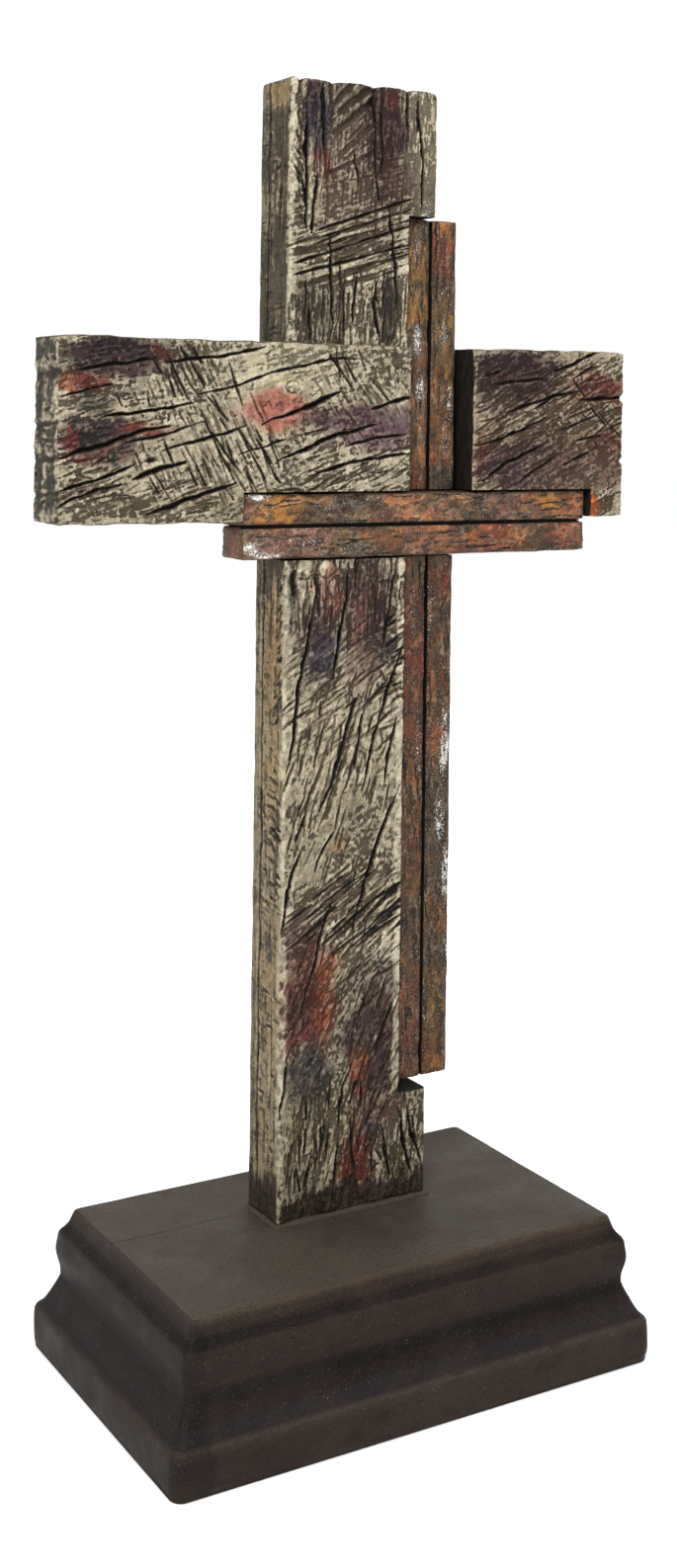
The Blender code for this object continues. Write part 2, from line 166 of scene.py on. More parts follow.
class Relief:
    """Height and paint of one face on a grid: u across or along, v up or along, both in millimetres.

    paint is the top coat and under the coat below it. The under coat shows where wear is above 0.
    """

    def __init__(self, low, high, pitch):
        self.us, self.vs = steps_between(low[0], high[0], pitch), steps_between(low[1], high[1], pitch)
        self.u, self.v = np.meshgrid(self.us, self.vs, indexing="ij")
        self.pitch = pitch
        self.height, self.cut, self.split, self.wear, self.shine, self.stained = (
            np.zeros_like(self.u) for _ in range(6))
        self.paint = np.zeros(self.u.shape + (3,))
        self.under = np.zeros(self.u.shape + (3,))

    def stroke(self, start, end, width, depth, black):
        reach = width * 0.9 + self.pitch
        i0 = np.searchsorted(self.us, min(start[0], end[0]) - reach)
        i1 = np.searchsorted(self.us, max(start[0], end[0]) + reach)
        j0 = np.searchsorted(self.vs, min(start[1], end[1]) - reach)
        j1 = np.searchsorted(self.vs, max(start[1], end[1]) + reach)
        if i0 >= i1 or j0 >= j1:
            return
        area = (slice(i0, i1), slice(j0, j1))
        du, dv = end[0] - start[0], end[1] - start[1]
        u, v = self.u[area] - start[0], self.v[area] - start[1]
        t = np.clip((u * du + v * dv) / max(du * du + dv * dv, 1e-9), 0, 1)
        away = np.hypot(u - t * du, v - t * dv) / (width / 2)
        self.cut[area] = np.maximum(self.cut[area], depth * np.clip(1.2 - away, 0, 1))
        self.split[area] = np.maximum(self.split[area], black * np.clip(1.5 - away * 1.1, 0, 1.2))

    def groove(self, points, width, depth, black=1.0, wander=0.35, taper=0.2):
        """A split or scratch along a line, thinning towards its ends and never quite straight."""
        path = np.array(points, float)
        lengths = np.concatenate([[0.0], np.cumsum(np.hypot(*np.diff(path, axis=0).T))])
        total = lengths[-1]
        s = np.linspace(0, total, max(3, int(total / 1.3) + 1))
        us, vs = np.interp(s, lengths, path[:, 0]), np.interp(s, lengths, path[:, 1])
        du, dv = (path[-1] - path[0]) / total
        start = SEED.uniform(0, 400)
        sway = wander * cloud(s / 4.0 + start, s * 0 + 3.3, 7, 2)
        us, vs = us - dv * sway, vs + du * sway
        size = np.clip(np.minimum(s, total - s) / (taper * total + 0.01), 0.2, 1) ** 0.6
        size = size * (1 + 0.35 * cloud(s / 2.5 + start, s * 0 + 8.1, 9, 2))
        for i in range(len(s) - 1):
            self.stroke((us[i], vs[i]), (us[i + 1], vs[i + 1]), width * size[i], depth * size[i], black)

    def hatch(self, centre, half, angle, count, length, width, depth, black, spread=5.0):
        """Many short scratches in an oval area, all leaning about the same way."""
        for _ in range(count):
            turn, far = SEED.uniform(0, 2 * math.pi), math.sqrt(SEED.uniform(0, 1))
            u = centre[0] + half[0] * far * math.cos(turn)
            v = centre[1] + half[1] * far * math.sin(turn)
            lean = math.radians(angle + SEED.normal(0, spread))
            reach = SEED.uniform(*length) / 2
            size = SEED.uniform(0.5, 1.3)
            ends = [(u - reach * math.cos(lean), v - reach * math.sin(lean)),
                    (u + reach * math.cos(lean), v + reach * math.sin(lean))]
            self.groove(ends, width * size, depth * size, black * SEED.uniform(0.4, 1.05), wander=0.2)

    def gouge(self, start, end, width, depth):
        """A broad tool mark: a dark hollow with a raised, paler lip on its upper side."""
        du, dv = end[0] - start[0], end[1] - start[1]
        length = math.hypot(du, dv)
        u, v = self.u - start[0], self.v - start[1]
        along = (u * du + v * dv) / length
        within = smooth(-1.0, 1.5, along) * smooth(length + 1.0, length - 1.5, along)
        sway = 0.3 * cloud(along / 4, along * 0 + start[1], 19, 2)
        across = ((v * du - u * dv) / length + sway) / (width / 2)
        hollow = np.clip(1 - across ** 2, 0, 1) * within
        lip = np.clip(1 - np.abs(across - 1.35) / 0.5, 0, 1) * within
        self.height += depth * (0.45 * lip - hollow)
        self.wear += 0.5 * hollow - 0.9 * lip
        # The hollow darkens with the brown: wash, and also painted shade.
        self.paint = blend(self.paint, WASH_AND_SHADE_BROWN, hollow * 0.6)

    def knob(self, centre, half, rise, black=0.6):
        """A rounded lump, set off by a dark line round it."""
        away = np.hypot((self.u - centre[0]) / half[0], (self.v - centre[1]) / half[1])
        away = away + 0.22 * cloud(self.u / 2.2, self.v / 2.2, 17, 3)
        rim = np.clip(1 - np.abs(away - 1.15) / 0.24, 0, 1)
        self.height += rise * smooth(1.1, 0.4, away)
        self.cut = np.maximum(self.cut, rim * rise)
        self.split = np.maximum(self.split, rim * black)
        self.wear -= 0.5 * smooth(1.05, 0.7, away)

    def stain(self, patches, seed):
        """Patches of colour in both coats, ragged at the edge: centre, half sizes, name and strength."""
        u = self.u + 2.6 * cloud(self.u / 6, self.v / 6, seed, 6)
        v = self.v + 2.6 * cloud(self.u / 6, self.v / 6, seed + 5, 6)
        worn = 1.04 + 0.55 * cloud(self.u / 1.4, self.v / 1.4, seed + 9, 5) - 0.10 * self.wear
        tone = 1 + 0.22 * cloud(self.u / 2.6, self.v / 2.6, seed + 13, 4)
        for cu, cv, hu, hv, name, strength in patches:
            away = np.hypot((u - cu) / (hu * 1.2), (v - cv) / (hv * 1.2))
            share = np.clip(smooth(1.50, 0.45, away) * worn * strength * 1.25, 0, 1)
            self.paint = blend(self.paint, STAINS[name] * tone[..., None], share * 0.96)
            self.under = blend(self.under, STAINS[name] * 0.42, share)
            if name != "cream":
                self.stained = np.maximum(self.stained, share)

    def finish_paint(self, seed, highlight=0.55, spots=0.5):
        """Hollows lose the top coat and darken with a wash that is also painted shade; ridges keep it and
        catch dry-brushed cream that is also a painted highlight.
        """
        level = self.height - self.cut
        near, wide = blur(level, 2), blur(level, 6)
        hollow = np.clip((near - level) / 0.18, 0, 1) * 0.7 + np.clip((wide - level) / 0.42, 0, 1) * 0.5
        ridge = np.clip((level - near) / 0.10, 0, 1) + np.clip((level - wide) / 0.34, 0, 1) * 0.5
        grit = cloud(self.u / 0.9, self.v / 0.9, seed, 3)
        self.wear = self.wear + 0.30 * hollow - 0.30 * ridge + 0.16 * spots * grit
        # Hollows darken toward the under coat and brown: wash, and also painted shade.
        self.paint = blend(self.paint, self.under * 0.5 + WASH_AND_SHADE_BROWN * 0.5, np.clip(hollow * 0.9, 0, 0.75))
        # Ridges take dry-brushed cream, which is also a painted highlight.
        brushed = np.clip(ridge * smooth(-0.5, 0.5, grit + 0.1) * highlight, 0, 1) * (1 - 0.85 * self.stained)
        self.paint = blend(self.paint, CREAM_LIGHT, brushed)
        self.height = level

    def coat(self, plain_grain=0.2):
        """All that the materials read at each grid point, in one array."""
        worn, grain = 0.5 + 0.5 * np.clip(self.wear, -1, 1), np.full_like(self.u, plain_grain)
        marks = np.stack([worn, self.split, self.shine, grain], -1)
        return np.concatenate([self.paint, self.under, marks], -1)

    def sample(self, field, u, v):
        """Value of a field between its grid points."""
        a = np.clip((u - self.us[0]) / (self.us[1] - self.us[0]), 0, len(self.us) - 1.001)
        b = np.clip((v - self.vs[0]) / (self.vs[1] - self.vs[0]), 0, len(self.vs) - 1.001)
        i, j = a.astype(int), b.astype(int)
        a, b = a - i, b - j
        if field.ndim == 3:
            a, b = a[:, None], b[:, None]
        low = field[i, j] * (1 - a) + field[i + 1, j] * a
        high = field[i, j + 1] * (1 - a) + field[i + 1, j + 1] * a
        return low * (1 - b) + high * b


def weathered(relief, grains, covers, seed, cover=0.0):
    """Cream paint worn through along a grain that changes its lean from place to place.

    Each of the grains is an angle in degrees, a centre and a reach. Each of the covers is a centre,
    a reach and how much more of the dark coat shows there; cover is the same for the whole face.
    """
    u, v = relief.u, relief.v
    near = [np.exp(-(((u - cu) / ru) ** 2 + ((v - cv) / rv) ** 2)) + 1e-4 for _, cu, cv, ru, rv in grains]
    near = [(weight / sum(near)) ** 2 for weight in near]
    lines, strokes, fine = 0.0, 0.0, 0.0
    for weight, (angle, *_) in zip(near, grains):
        lines = lines + weight * streaks(u, v, angle, 14.0, 1.2, seed, 4)
        strokes = strokes + weight * streaks(u, v, angle, 5.5, 0.95, seed + 5, 3)
        fine = fine + weight * streaks(u, v, angle, 3.2, 0.5, seed + 7, 2)
    local = cover
    for cu, cv, ru, rv, amount in covers:
        local = local + amount * np.exp(-(((u - cu) / ru) ** 2 + ((v - cv) / rv) ** 2))
    specks = cloud(u / 0.95, v / 0.95, seed + 12, 3)
    blotch = cloud(u / 3.6, v / 3.0, seed + 13, 6)
    relief.height += 0.30 * cloud(u / 8, v / 8, seed + 1, 4) + 0.16 * lines + 0.10 * strokes + 0.10 * blotch
    patchy = cloud(u / 9, v / 9, seed + 4, 3)
    tone = smooth(-0.6, 0.7, cloud(u / 12, v / 12, seed + 2, 3) + local)
    relief.paint = blend(relief.paint + CREAM, CREAM_SHADE, tone * 0.85)
    relief.paint = blend(relief.paint, CREAM_LIGHT, smooth(0.1, 0.9, lines) * 0.6)
    relief.paint = blend(relief.paint, OLIVE, smooth(-0.1, 0.5, strokes * 0.6 + 0.5 * patchy + local) * 0.5)
    mottled = smooth(0.0, 0.5, cloud(u / 1.7, v / 1.7, seed + 10, 3))
    relief.paint = blend(relief.paint, CREAM_SHADE * 0.82, mottled * 0.5)
    relief.under = blend(relief.under + GREY_WASH, WASH, smooth(-0.4, 0.6, cloud(u / 4, v / 4, seed + 8, 3)))
    warm = smooth(0.0, 0.5, cloud(u / 2.4, v / 2.4, seed + 14, 4))
    relief.under = blend(relief.under, WASH_AND_SHADE_BROWN * 0.9, warm * 0.6)
    relief.wear = strokes * 0.50 + fine * 0.42 + 0.40 * specks + 0.32 * blotch + 0.30 * patchy + local
    relief.height -= 0.22 * smooth(-0.08, 0.20, relief.wear)


# Solid boards from carved faces

class Board:
    """A closed block whose front, and sides where given, take their height and coat from reliefs.

    a runs across the board, b along it. An upright board has a on X and b on Z, a lying one the reverse.
    """

    def __init__(self, name, low, high, upright, front, sides=(None, None), ends=(None, None),
                 plain=None, arris=1.3, side_pitch=0.7, back_pitch=2.4, skip=None, seed=1, cap_shift=None,
                 side_shift=None, snug=0, seams=(False, False)):
        self.upright = upright
        self.low = np.array([low[0], low[2]] if upright else [low[2], low[0]])
        self.high = np.array([high[0], high[2]] if upright else [high[2], high[0]])
        self.front_y, self.back_y = low[1], high[1]
        self.seams = seams
        a = steps_between(self.low[0], self.high[0], front.pitch)
        b = steps_between(self.low[1], self.high[1], front.pitch)
        if skip:
            inside = (b > skip[0]) & (b < skip[1])
            keep = ~inside | (np.arange(len(b)) % 7 == 0)
            b = b[keep]
        y = steps_between(self.front_y, self.back_y, side_pitch)
        back = steps_between(self.low[0], self.high[0], back_pitch)
        points, faces = self.shell(a, b, y, back)
        self.displace(points, front, sides, ends, arris, seed, cap_shift, side_shift, plain, snug)
        self.object = mesh_object(name, self.places, faces)

    def shell(self, a, b, y, back):
        """Nominal points (a, y, b) on the block's surface, and the faces between them."""
        na, nb, ny, nk = len(a), len(b), len(y), len(back)
        ring = [(value, self.front_y) for value in a]
        ring += [(self.high[0], value) for value in y[1:]]
        ring += [(value, self.back_y) for value in back[-2::-1]]
        ring += [(self.low[0], value) for value in y[-2:0:-1]]
        ring = np.array(ring)
        size = len(ring)
        points = np.empty((nb, size, 3))
        points[:, :, 0], points[:, :, 1], points[:, :, 2] = ring[:, 0], ring[:, 1], b[:, None]
        points = points.reshape(-1, 3).tolist()
        faces = ring_faces(nb, size)
        for row, flip in ((0, True), (nb - 1, False)):
            start = row * size
            right = [start + na - 1 + k for k in range(ny)]
            left = [start] + [start + size - k for k in range(1, ny)]
            lines = [[start + i for i in range(na)]]
            for k in range(1, ny - 1):
                first = len(points)
                points.extend([value, y[k], b[row]] for value in a[1:-1])
                lines.append([left[k]] + list(range(first, first + na - 2)) + [right[k]])
            last = [right[-1] + nk - 1 - m for m in range(nk)]
            last[0], last[-1] = left[-1], right[-1]
            cap = []
            for near, far in zip(lines, lines[1:]):
                cap.extend([near[i], near[i + 1], far[i + 1], far[i]] for i in range(na - 1))
            i = m = 0
            near = lines[-1]
            while i < na - 1 or m < nk - 1:
                if m == nk - 1 or (i < na - 1 and (i + 1) / (na - 1) <= (m + 1) / (nk - 1)):
                    cap.append([near[i], near[i + 1], last[m]])
                    i += 1
                else:
                    cap.append([near[i], last[m + 1], last[m]])
                    m += 1
            faces.extend(face[::-1] if flip else face for face in cap)
        return np.array(points), faces

    def displace(self, points, front, sides, ends, arris, seed, cap_shift, side_shift, plain, snug):
        a, y, b = points.T
        a0, b0 = self.low
        a1, b1 = self.high
        on_front, on_back = y <= self.front_y + 1e-6, y >= self.back_y - 1e-6
        on_low, on_high = a <= a0 + 1e-6, a >= a1 - 1e-6
        on_start, on_end = b <= b0 + 1e-6, b >= b1 - 1e-6
        radius = arris * (1 + 0.45 * cloud(b / 7 + a, y / 7 + 3.1, seed, 3))

        def rounded(*distances):
            near = np.minimum.reduce(distances)
            return 0.29 * radius * np.clip(1 - near / radius, 0, 1) ** 2

        from_sides = np.minimum(a - a0, a1 - a)
        from_ends = np.minimum(b - b0 + 99 * self.seams[0], b1 - b + 99 * self.seams[1])
        from_faces = np.minimum(y - self.front_y, self.back_y - y)
        u, v = (a, b) if self.upright else (b, a)
        relief = front.sample(front.height, u, v)
        new_y = y + on_front * (rounded(from_sides, from_ends) - relief)
        rough = 0.18 + 0.18 * cloud(a / 6, b / 6, seed + 3, 3)
        new_y = new_y - on_back * (rounded(from_sides, from_ends) + rough)
        shift = []
        for side, sign in zip(sides, (-1, 1)):
            inward = 0.12 + 0.10 * cloud(y / 4 + sign, b / 6, seed + 5 + sign, 3)
            if side is not None:
                inward = -side.sample(side.height, y, b)
            if sign == snug:
                inward = inward * 0
            if side_shift is not None:
                inward = inward + side_shift(sign, b)
            shift.append(np.clip(inward, -0.3 if self.upright else 0.0, None))
        share = (a - a0) / (a1 - a0)
        new_a = (a0 + shift[0]) * (1 - share) + (a1 - shift[1]) * share
        new_a = new_a + on_low * rounded(from_faces, from_ends) - on_high * rounded(from_faces, from_ends)
        new_b = b.copy()
        for end, sign, edge, on, seam in zip(ends, (1, -1), (b0, b1), (on_start, on_end), self.seams):
            if seam:
                continue
            new_b += sign * on * rounded(from_sides, from_faces)
            depth = 0.10 + 0.10 * cloud(a / 5, y / 5, seed + 9 + sign, 3)
            if end is not None:
                depth = -end.sample(end.height, y, a)
            if cap_shift is not None:
                depth = depth + cap_shift(sign, a)
            near = np.clip(1 - np.abs(b - edge) / 6.0, 0, 1)
            new_b += sign * np.clip(depth, 0.0, None) * near
        self.coat = front.sample(front.coat(), u, v)
        other = ~on_front
        spread_u, spread_v = u + y * 1.7 + 90, v - y * 0.6
        self.coat[other] = plain(spread_u[other], spread_v[other])
        for side, on in zip(sides, (on_low, on_high)):
            if side is not None:
                mask = on & ~on_front
                self.coat[mask] = side.sample(side.coat(), y[mask], b[mask])
        for end, on in zip(ends, (on_start, on_end)):
            if end is not None:
                mask = on & ~on_front
                self.coat[mask] = end.sample(end.coat(), y[mask], a[mask])
        order = [new_a, new_y, new_b] if self.upright else [new_b, new_y, new_a]
        self.places = np.stack(order, 1)

    def cut(self, *cutters):
        """Cut the block, then give the points of the new mesh their paint from the nearest old ones."""
        tree = KDTree(len(self.places))
        for i, place in enumerate(self.places):
            tree.insert(place, i)
        tree.balance()
        self.object.data = cut_mesh(self.object, cutters)
        nearest = [tree.find(vert.co / MM)[1] for vert in self.object.data.vertices]
        store_coat(self.object.data, self.coat[nearest])


def ring_faces(count, size):
    """Faces between neighbours of count closed rings of size points each."""
    rows = np.arange(count - 1)[:, None] * size
    here = np.arange(size)[None, :]
    following = (here + 1) % size
    quads = np.stack([rows + here, rows + following, rows + size + following, rows + size + here], -1)
    return quads.reshape(-1, 4).tolist()


def add_object(name, data):
    made = bpy.data.objects.new(name, data)
    bpy.context.scene.collection.objects.link(made)
    return made


def mesh_object(name, places, faces):
    """An object from points in millimetres, with its normals outward."""
    mesh = bpy.data.meshes.new(name)
    mesh.from_pydata((np.asarray(places) * MM).tolist(), [], faces)
    bm = bmesh.new()
    bm.from_mesh(mesh)
    bmesh.ops.recalc_face_normals(bm, faces=bm.faces)
    bm.to_mesh(mesh)
    bm.free()
    return add_object(name, mesh)


def cut_mesh(target, cutters):
    """The target's mesh less the cutters. If the quick solver drops the body, the thorough one runs."""
    for thorough in (False, True):
        for cutter in cutters:
            boolean = target.modifiers.new(cutter.name, "BOOLEAN")
            boolean.object = cutter
            boolean.operation = "DIFFERENCE"
            boolean.solver = "EXACT" if thorough else "MANIFOLD"
            boolean.use_self = thorough
            boolean.material_mode = "TRANSFER"
        bpy.context.view_layer.update()
        graph = bpy.context.evaluated_depsgraph_get()
        mesh = bpy.data.meshes.new_from_object(target.evaluated_get(graph), depsgraph=graph)
        target.modifiers.clear()
        if len(mesh.polygons) > 0.5 * len(target.data.polygons):
            break
    return mesh


def store_coat(mesh, coat):
    """Keep the coat as three attributes: paint, under, and marks of wear, split, gloss with painted
    highlight, and plain grain.
    """
    for name, first in (("paint", 0), ("under", 3), ("marks", 6)):
        if name in mesh.attributes:
            mesh.attributes.remove(mesh.attributes[name])
        colours = np.ones((len(mesh.vertices), 4), dtype=np.float32)
        width = 4 if name == "marks" else 3
        colours[:, :width] = np.clip(coat[:, first:first + width], 0, 2)
        mesh.attributes.new(name, "FLOAT_COLOR", "POINT").data.foreach_set("color", colours.ravel())


def even_coat(paint, under=None, wear=0.0, shine=0.0, plain_grain=0.0):
    """A coat for points that have no relief of their own."""
    coat = np.zeros((len(paint), 10))
    coat[:, :3] = paint
    coat[:, 3:6] = paint * 0.45 if under is None else under
    coat[:, 6] = 0.5 + 0.5 * np.clip(wear, -1, 1)
    coat[:, 8] = shine
    coat[:, 9] = plain_grain
    return coat


def box_cutter(name, low, high, finish):
    bm = bmesh.new()
    made = bmesh.ops.create_cube(bm, size=1.0)["verts"]
    low, high = Vector(low) * MM, Vector(high) * MM
    bmesh.ops.scale(bm, vec=high - low, verts=made)
    bmesh.ops.translate(bm, vec=(low + high) / 2, verts=made)
    mesh = bpy.data.meshes.new(name)
    bm.to_mesh(mesh)
    bm.free()
    # Faces this box cuts take this material; every cutter here gets housing_shadow, a painted shadow.
    mesh.materials.append(finish)
    return add_object(name, mesh)


# Materials

class Nodes:
    """Short ways to add nodes to a material."""

    def __init__(self, name):
        self.material = bpy.data.materials.new(name)
        self.material.use_nodes = True
        self.tree = self.material.node_tree
        self.shader = self.tree.nodes["Principled BSDF"]
        self.place = self.add("ShaderNodeTexCoord").outputs["Object"]

    def add(self, kind, **settings):
        node = self.tree.nodes.new(kind)
        for key, value in settings.items():
            setattr(node, key, value)
        return node

    def feed(self, socket, source):
        if hasattr(source, "is_output"):
            self.tree.links.new(source, socket)
        else:
            socket.default_value = source

    def attribute(self, name, output):
        return self.add("ShaderNodeAttribute", attribute_name=name).outputs[output]

    def marks(self):
        """Wear, split, gloss with painted highlight, and plain grain, as store_coat keeps them."""
        attribute = self.add("ShaderNodeAttribute", attribute_name="marks")
        parts = self.add("ShaderNodeSeparateColor")
        self.feed(parts.inputs[0], attribute.outputs["Color"])
        return *parts.outputs, attribute.outputs["Alpha"]

    def noise(self, scale, detail=3.0, rough=0.55, stretch=None):
        node = self.add("ShaderNodeTexNoise")
        node.inputs["Scale"].default_value = scale
        node.inputs["Detail"].default_value = detail
        node.inputs["Roughness"].default_value = rough
        source = self.place
        if stretch:
            mapping = self.add("ShaderNodeMapping")
            mapping.inputs["Scale"].default_value = stretch
            self.feed(mapping.inputs["Vector"], source)
            source = mapping.outputs["Vector"]
        self.feed(node.inputs["Vector"], source)
        return node.outputs["Fac"]

    def ramp(self, value, low, high, start=0.0, end=1.0):
        node = self.add("ShaderNodeMapRange")
        numbers = {"Value": value, "From Min": low, "From Max": high, "To Min": start, "To Max": end}
        for key, number in numbers.items():
            self.feed(node.inputs[key], number)
        return node.outputs["Result"]

    def maths(self, operation, first, second):
        node = self.add("ShaderNodeMath", operation=operation)
        self.feed(node.inputs[0], first)
        self.feed(node.inputs[1], second)
        return node.outputs[0]

    def total(self, first, *others):
        for other in others:
            first = self.maths("ADD", first, other)
        return first

    def mix(self, share, first, second, mode="MIX"):
        node = self.add("ShaderNodeMix", data_type="RGBA", blend_type=mode)
        self.feed(node.inputs[0], share)
        for index, source in ((6, first), (7, second)):
            self.feed(node.inputs[index], source if hasattr(source, "is_output") else (*source, 1.0))
        return node.outputs[2]

    def tint(self, colour, over, source, *limits):
        """The colour with another over it where the source passes from one limit to the next."""
        return self.mix(self.ramp(source, *limits), colour, over)

    def bump(self, height, distance, strength=1.0):
        node = self.add("ShaderNodeBump")
        node.inputs["Distance"].default_value = distance
        node.inputs["Strength"].default_value = strength
        self.feed(node.inputs["Height"], height)
        self.feed(self.shader.inputs["Normal"], node.outputs["Normal"])


def distressed_cream(name, along):
    """Cream over a dark coat. The grain of plain faces runs along the axis that is not stretched."""
    m = Nodes(name)
    paint, under = m.attribute("paint", "Color"), m.attribute("under", "Color")
    wear, split, shine, plain_grain = m.marks()
    fine, grit, smudge = m.noise(1300, 4.0, 0.62), m.noise(3400, 2.0, 0.6), m.noise(420, 6.0, 0.66)
    grain = m.noise(1100, 3.0, 0.6, along)
    edge = m.total(wear, m.ramp(fine, 0.3, 0.7, -0.18, 0.18), m.ramp(grit, 0.3, 0.7, -0.12, 0.12),
                   m.maths("MULTIPLY", m.ramp(grain, 0.3, 0.7, -0.42, 0.42), plain_grain))
    dark = m.ramp(edge, 0.44, 0.56)
    coat = m.tint(paint, under, smudge, 0.46, 0.66, 0.0, 0.60)
    coat = m.tint(coat, under, grit, 0.52, 0.36, 0.0, 0.55)
    coat = m.tint(coat, under, fine, 0.40, 0.30, 0.0, 0.60)
    coat = m.mix(m.ramp(fine, 0.54, 0.70, 0.0, 0.55), coat, CREAM_LIGHT, "SOFT_LIGHT")
    bare = m.tint(under, paint, grit, 0.52, 0.64, 0.0, 0.45)
    colour = m.mix(dark, coat, bare)
    # Beside the splits the colour turns to the under coat and brown: wash, and also painted shade.
    halo = m.maths("MULTIPLY", m.ramp(split, 0.10, 0.75), m.ramp(fine, 0.3, 0.6, 0.35, 0.85))
    colour = m.mix(halo, colour, m.mix(0.5, under, WASH_AND_SHADE_BROWN))
    # Near black in the splits: dark wash, and also painted shade.
    crack = m.ramp(m.total(split, m.ramp(fine, 0.3, 0.7, -0.15, 0.15)), 0.66, 0.92)
    colour = m.mix(crack, colour, CRACK_WASH_AND_SHADE)
    # Painted highlight: near white in the base colour where the mask of gloss and painted highlight is high;
    # the roughness below also drops there as real gloss.
    glint = m.maths("MULTIPLY", m.ramp(grit, 0.58, 0.64), shine)
    colour = m.mix(glint, colour, srgb(226, 226, 222))
    m.feed(m.shader.inputs["Base Color"], colour)
    rough = m.total(fine, m.ramp(shine, 0.0, 1.0, 0.0, -0.3))
    m.feed(m.shader.inputs["Roughness"], m.ramp(rough, 0.35, 0.65, 0.40, 0.62))
    m.shader.inputs["Specular IOR Level"].default_value = 0.3
    height = m.total(m.ramp(dark, 0.0, 1.0, 0.7, 0.0), m.ramp(smudge, 0.0, 1.0, 0.0, 1.6), fine,
                     m.ramp(grit, 0.0, 1.0, 0.0, 0.35))
    m.bump(height, 0.00046, 1.0)
    return m.material


def housing_shadow():
    m = Nodes("housing_shadow")
    fine = m.noise(500, 4.0, 0.6, (1.0, 1.0, 0.4))
    colour = m.mix(m.ramp(fine, 0.38, 0.62), srgb(20, 16, 11), srgb(44, 37, 26))
    m.feed(m.shader.inputs["Base Color"], colour)
    m.shader.inputs["Roughness"].default_value = 0.7
    m.bump(fine, 0.0004)
    return m.material


def metal_patina():
    m = Nodes("metal_patina")
    paint, under = m.attribute("paint", "Color"), m.attribute("under", "Color")
    wear, split, shine, _ = m.marks()
    fine, grit, sand = m.noise(1500, 5.0, 0.68), m.noise(3600, 2.0, 0.65), m.noise(2400, 3.0, 0.7)
    edge = m.total(wear, m.ramp(fine, 0.3, 0.7, -0.12, 0.12))
    colour = m.tint(paint, under, edge, 0.46, 0.54)
    colour = m.tint(colour, srgb(44, 34, 27), fine, 0.46, 0.32, 0.0, 0.62)
    colour = m.tint(colour, srgb(48, 34, 25), sand, 0.44, 0.32, 0.0, 0.6)
    colour = m.tint(colour, srgb(206, 156, 96), sand, 0.58, 0.70, 0.0, 0.4)
    colour = m.tint(colour, srgb(204, 182, 160), grit, 0.58, 0.66, 0.0, 0.5)
    crack = m.ramp(m.total(split, m.ramp(fine, 0.3, 0.7, -0.2, 0.2)), 0.5, 0.75)
    colour = m.mix(crack, colour, srgb(26, 19, 15))
    # Glints: specks painted near white as a painted highlight, and more metallic as real gloss.
    glint = m.total(m.ramp(fine, 0.0, 1.0, 0.0, 2.0), m.ramp(grit, 0.0, 1.0, 0.0, 2.2), shine)
    glint = m.ramp(glint, 2.66, 2.84)
    colour = m.mix(glint, colour, srgb(232, 231, 226))
    m.feed(m.shader.inputs["Base Color"], colour)
    m.feed(m.shader.inputs["Metallic"], m.ramp(glint, 0.0, 1.0, 0.30, 0.85))
    m.feed(m.shader.inputs["Roughness"], m.ramp(fine, 0.35, 0.65, 0.50, 0.28))
    m.bump(m.total(fine, sand, m.noise(500, 2.0), m.ramp(glint, 0.0, 1.0, 0.0, 0.5)), 0.00030, 1.0)
    return m.material


# The scored line across the left of the base's top, in metres behind its middle.
PLANK_LINE_Y = 0.0122


def satin_brown():
    m = Nodes("satin_brown")
    paint = m.attribute("paint", "Color")
    fine = m.noise(1100, 5.0, 0.7)
    broad = m.noise(70, 3.0)
    colour = m.tint(paint, srgb(30, 25, 24), fine, 0.52, 0.34, 0.0, 0.45)
    colour = m.tint(colour, srgb(92, 82, 72), broad, 0.45, 0.65, 0.0, 0.10)
    colour = m.mix(m.ramp(m.noise(2600, 3.0, 0.7), 0.55, 0.68, 0.0, 0.35), colour, srgb(96, 82, 70))
    parts = m.add("ShaderNodeSeparateXYZ")
    m.feed(parts.inputs[0], m.place)
    x, y, z = parts.outputs
    off_line = m.maths("ABSOLUTE", m.total(y, -PLANK_LINE_Y, m.ramp(broad, 0.0, 1.0, -0.0004, 0.0004)), 0.0)
    plank = m.maths("MULTIPLY", m.ramp(off_line, 0.00034, 0.00012), m.ramp(x, -0.026, -0.036))
    plank = m.maths("MULTIPLY", plank, m.ramp(z, 0.0384, 0.0386))
    plank = m.maths("MULTIPLY", plank, m.ramp(fine, 0.3, 0.6, 0.3, 0.9))
    colour = m.mix(plank, colour, srgb(30, 25, 22))
    dust = m.ramp(m.noise(2300, 2.0), 0.70, 0.75, 0.0, 0.55)
    colour = m.mix(dust, colour, srgb(156, 148, 138))
    m.feed(m.shader.inputs["Base Color"], colour)
    m.feed(m.shader.inputs["Roughness"], m.ramp(broad, 0.35, 0.65, 0.42, 0.60))
    m.shader.inputs["Specular IOR Level"].default_value = 0.16
    m.bump(m.total(fine, broad), 0.00022, 0.8)
    return m.material


# The carving: where the photograph shows splits, scratches and colour

# More or less of the dark coat: centre, reach and amount.
UPRIGHT_COVERS = [
    (0, 340, 60, 18, 0.12), (4, 316, 30, 8, 0.05), (0, 293, 40, 13, 0.28), (14, 330, 12, 26, 0.28),
    (-20.6, 332, 1.8, 26, 0.30), (-22.5, 180, 2.2, 60, -0.25), (-22.5, 80, 2.4, 30, -0.35),
    (6, 212, 30, 14, 0.12), (12, 180, 9, 34, 0.10), (-8, 178, 14, 16, -0.30), (-6, 160, 16, 14, -0.24),
    (0, 124, 30, 12, 0.12), (-14, 139, 9, 8, -0.10), (7, 98, 9, 10, -0.16), (0, 58, 40, 20, 0.14),
    (-20, 200, 5, 10, 0.05),
]
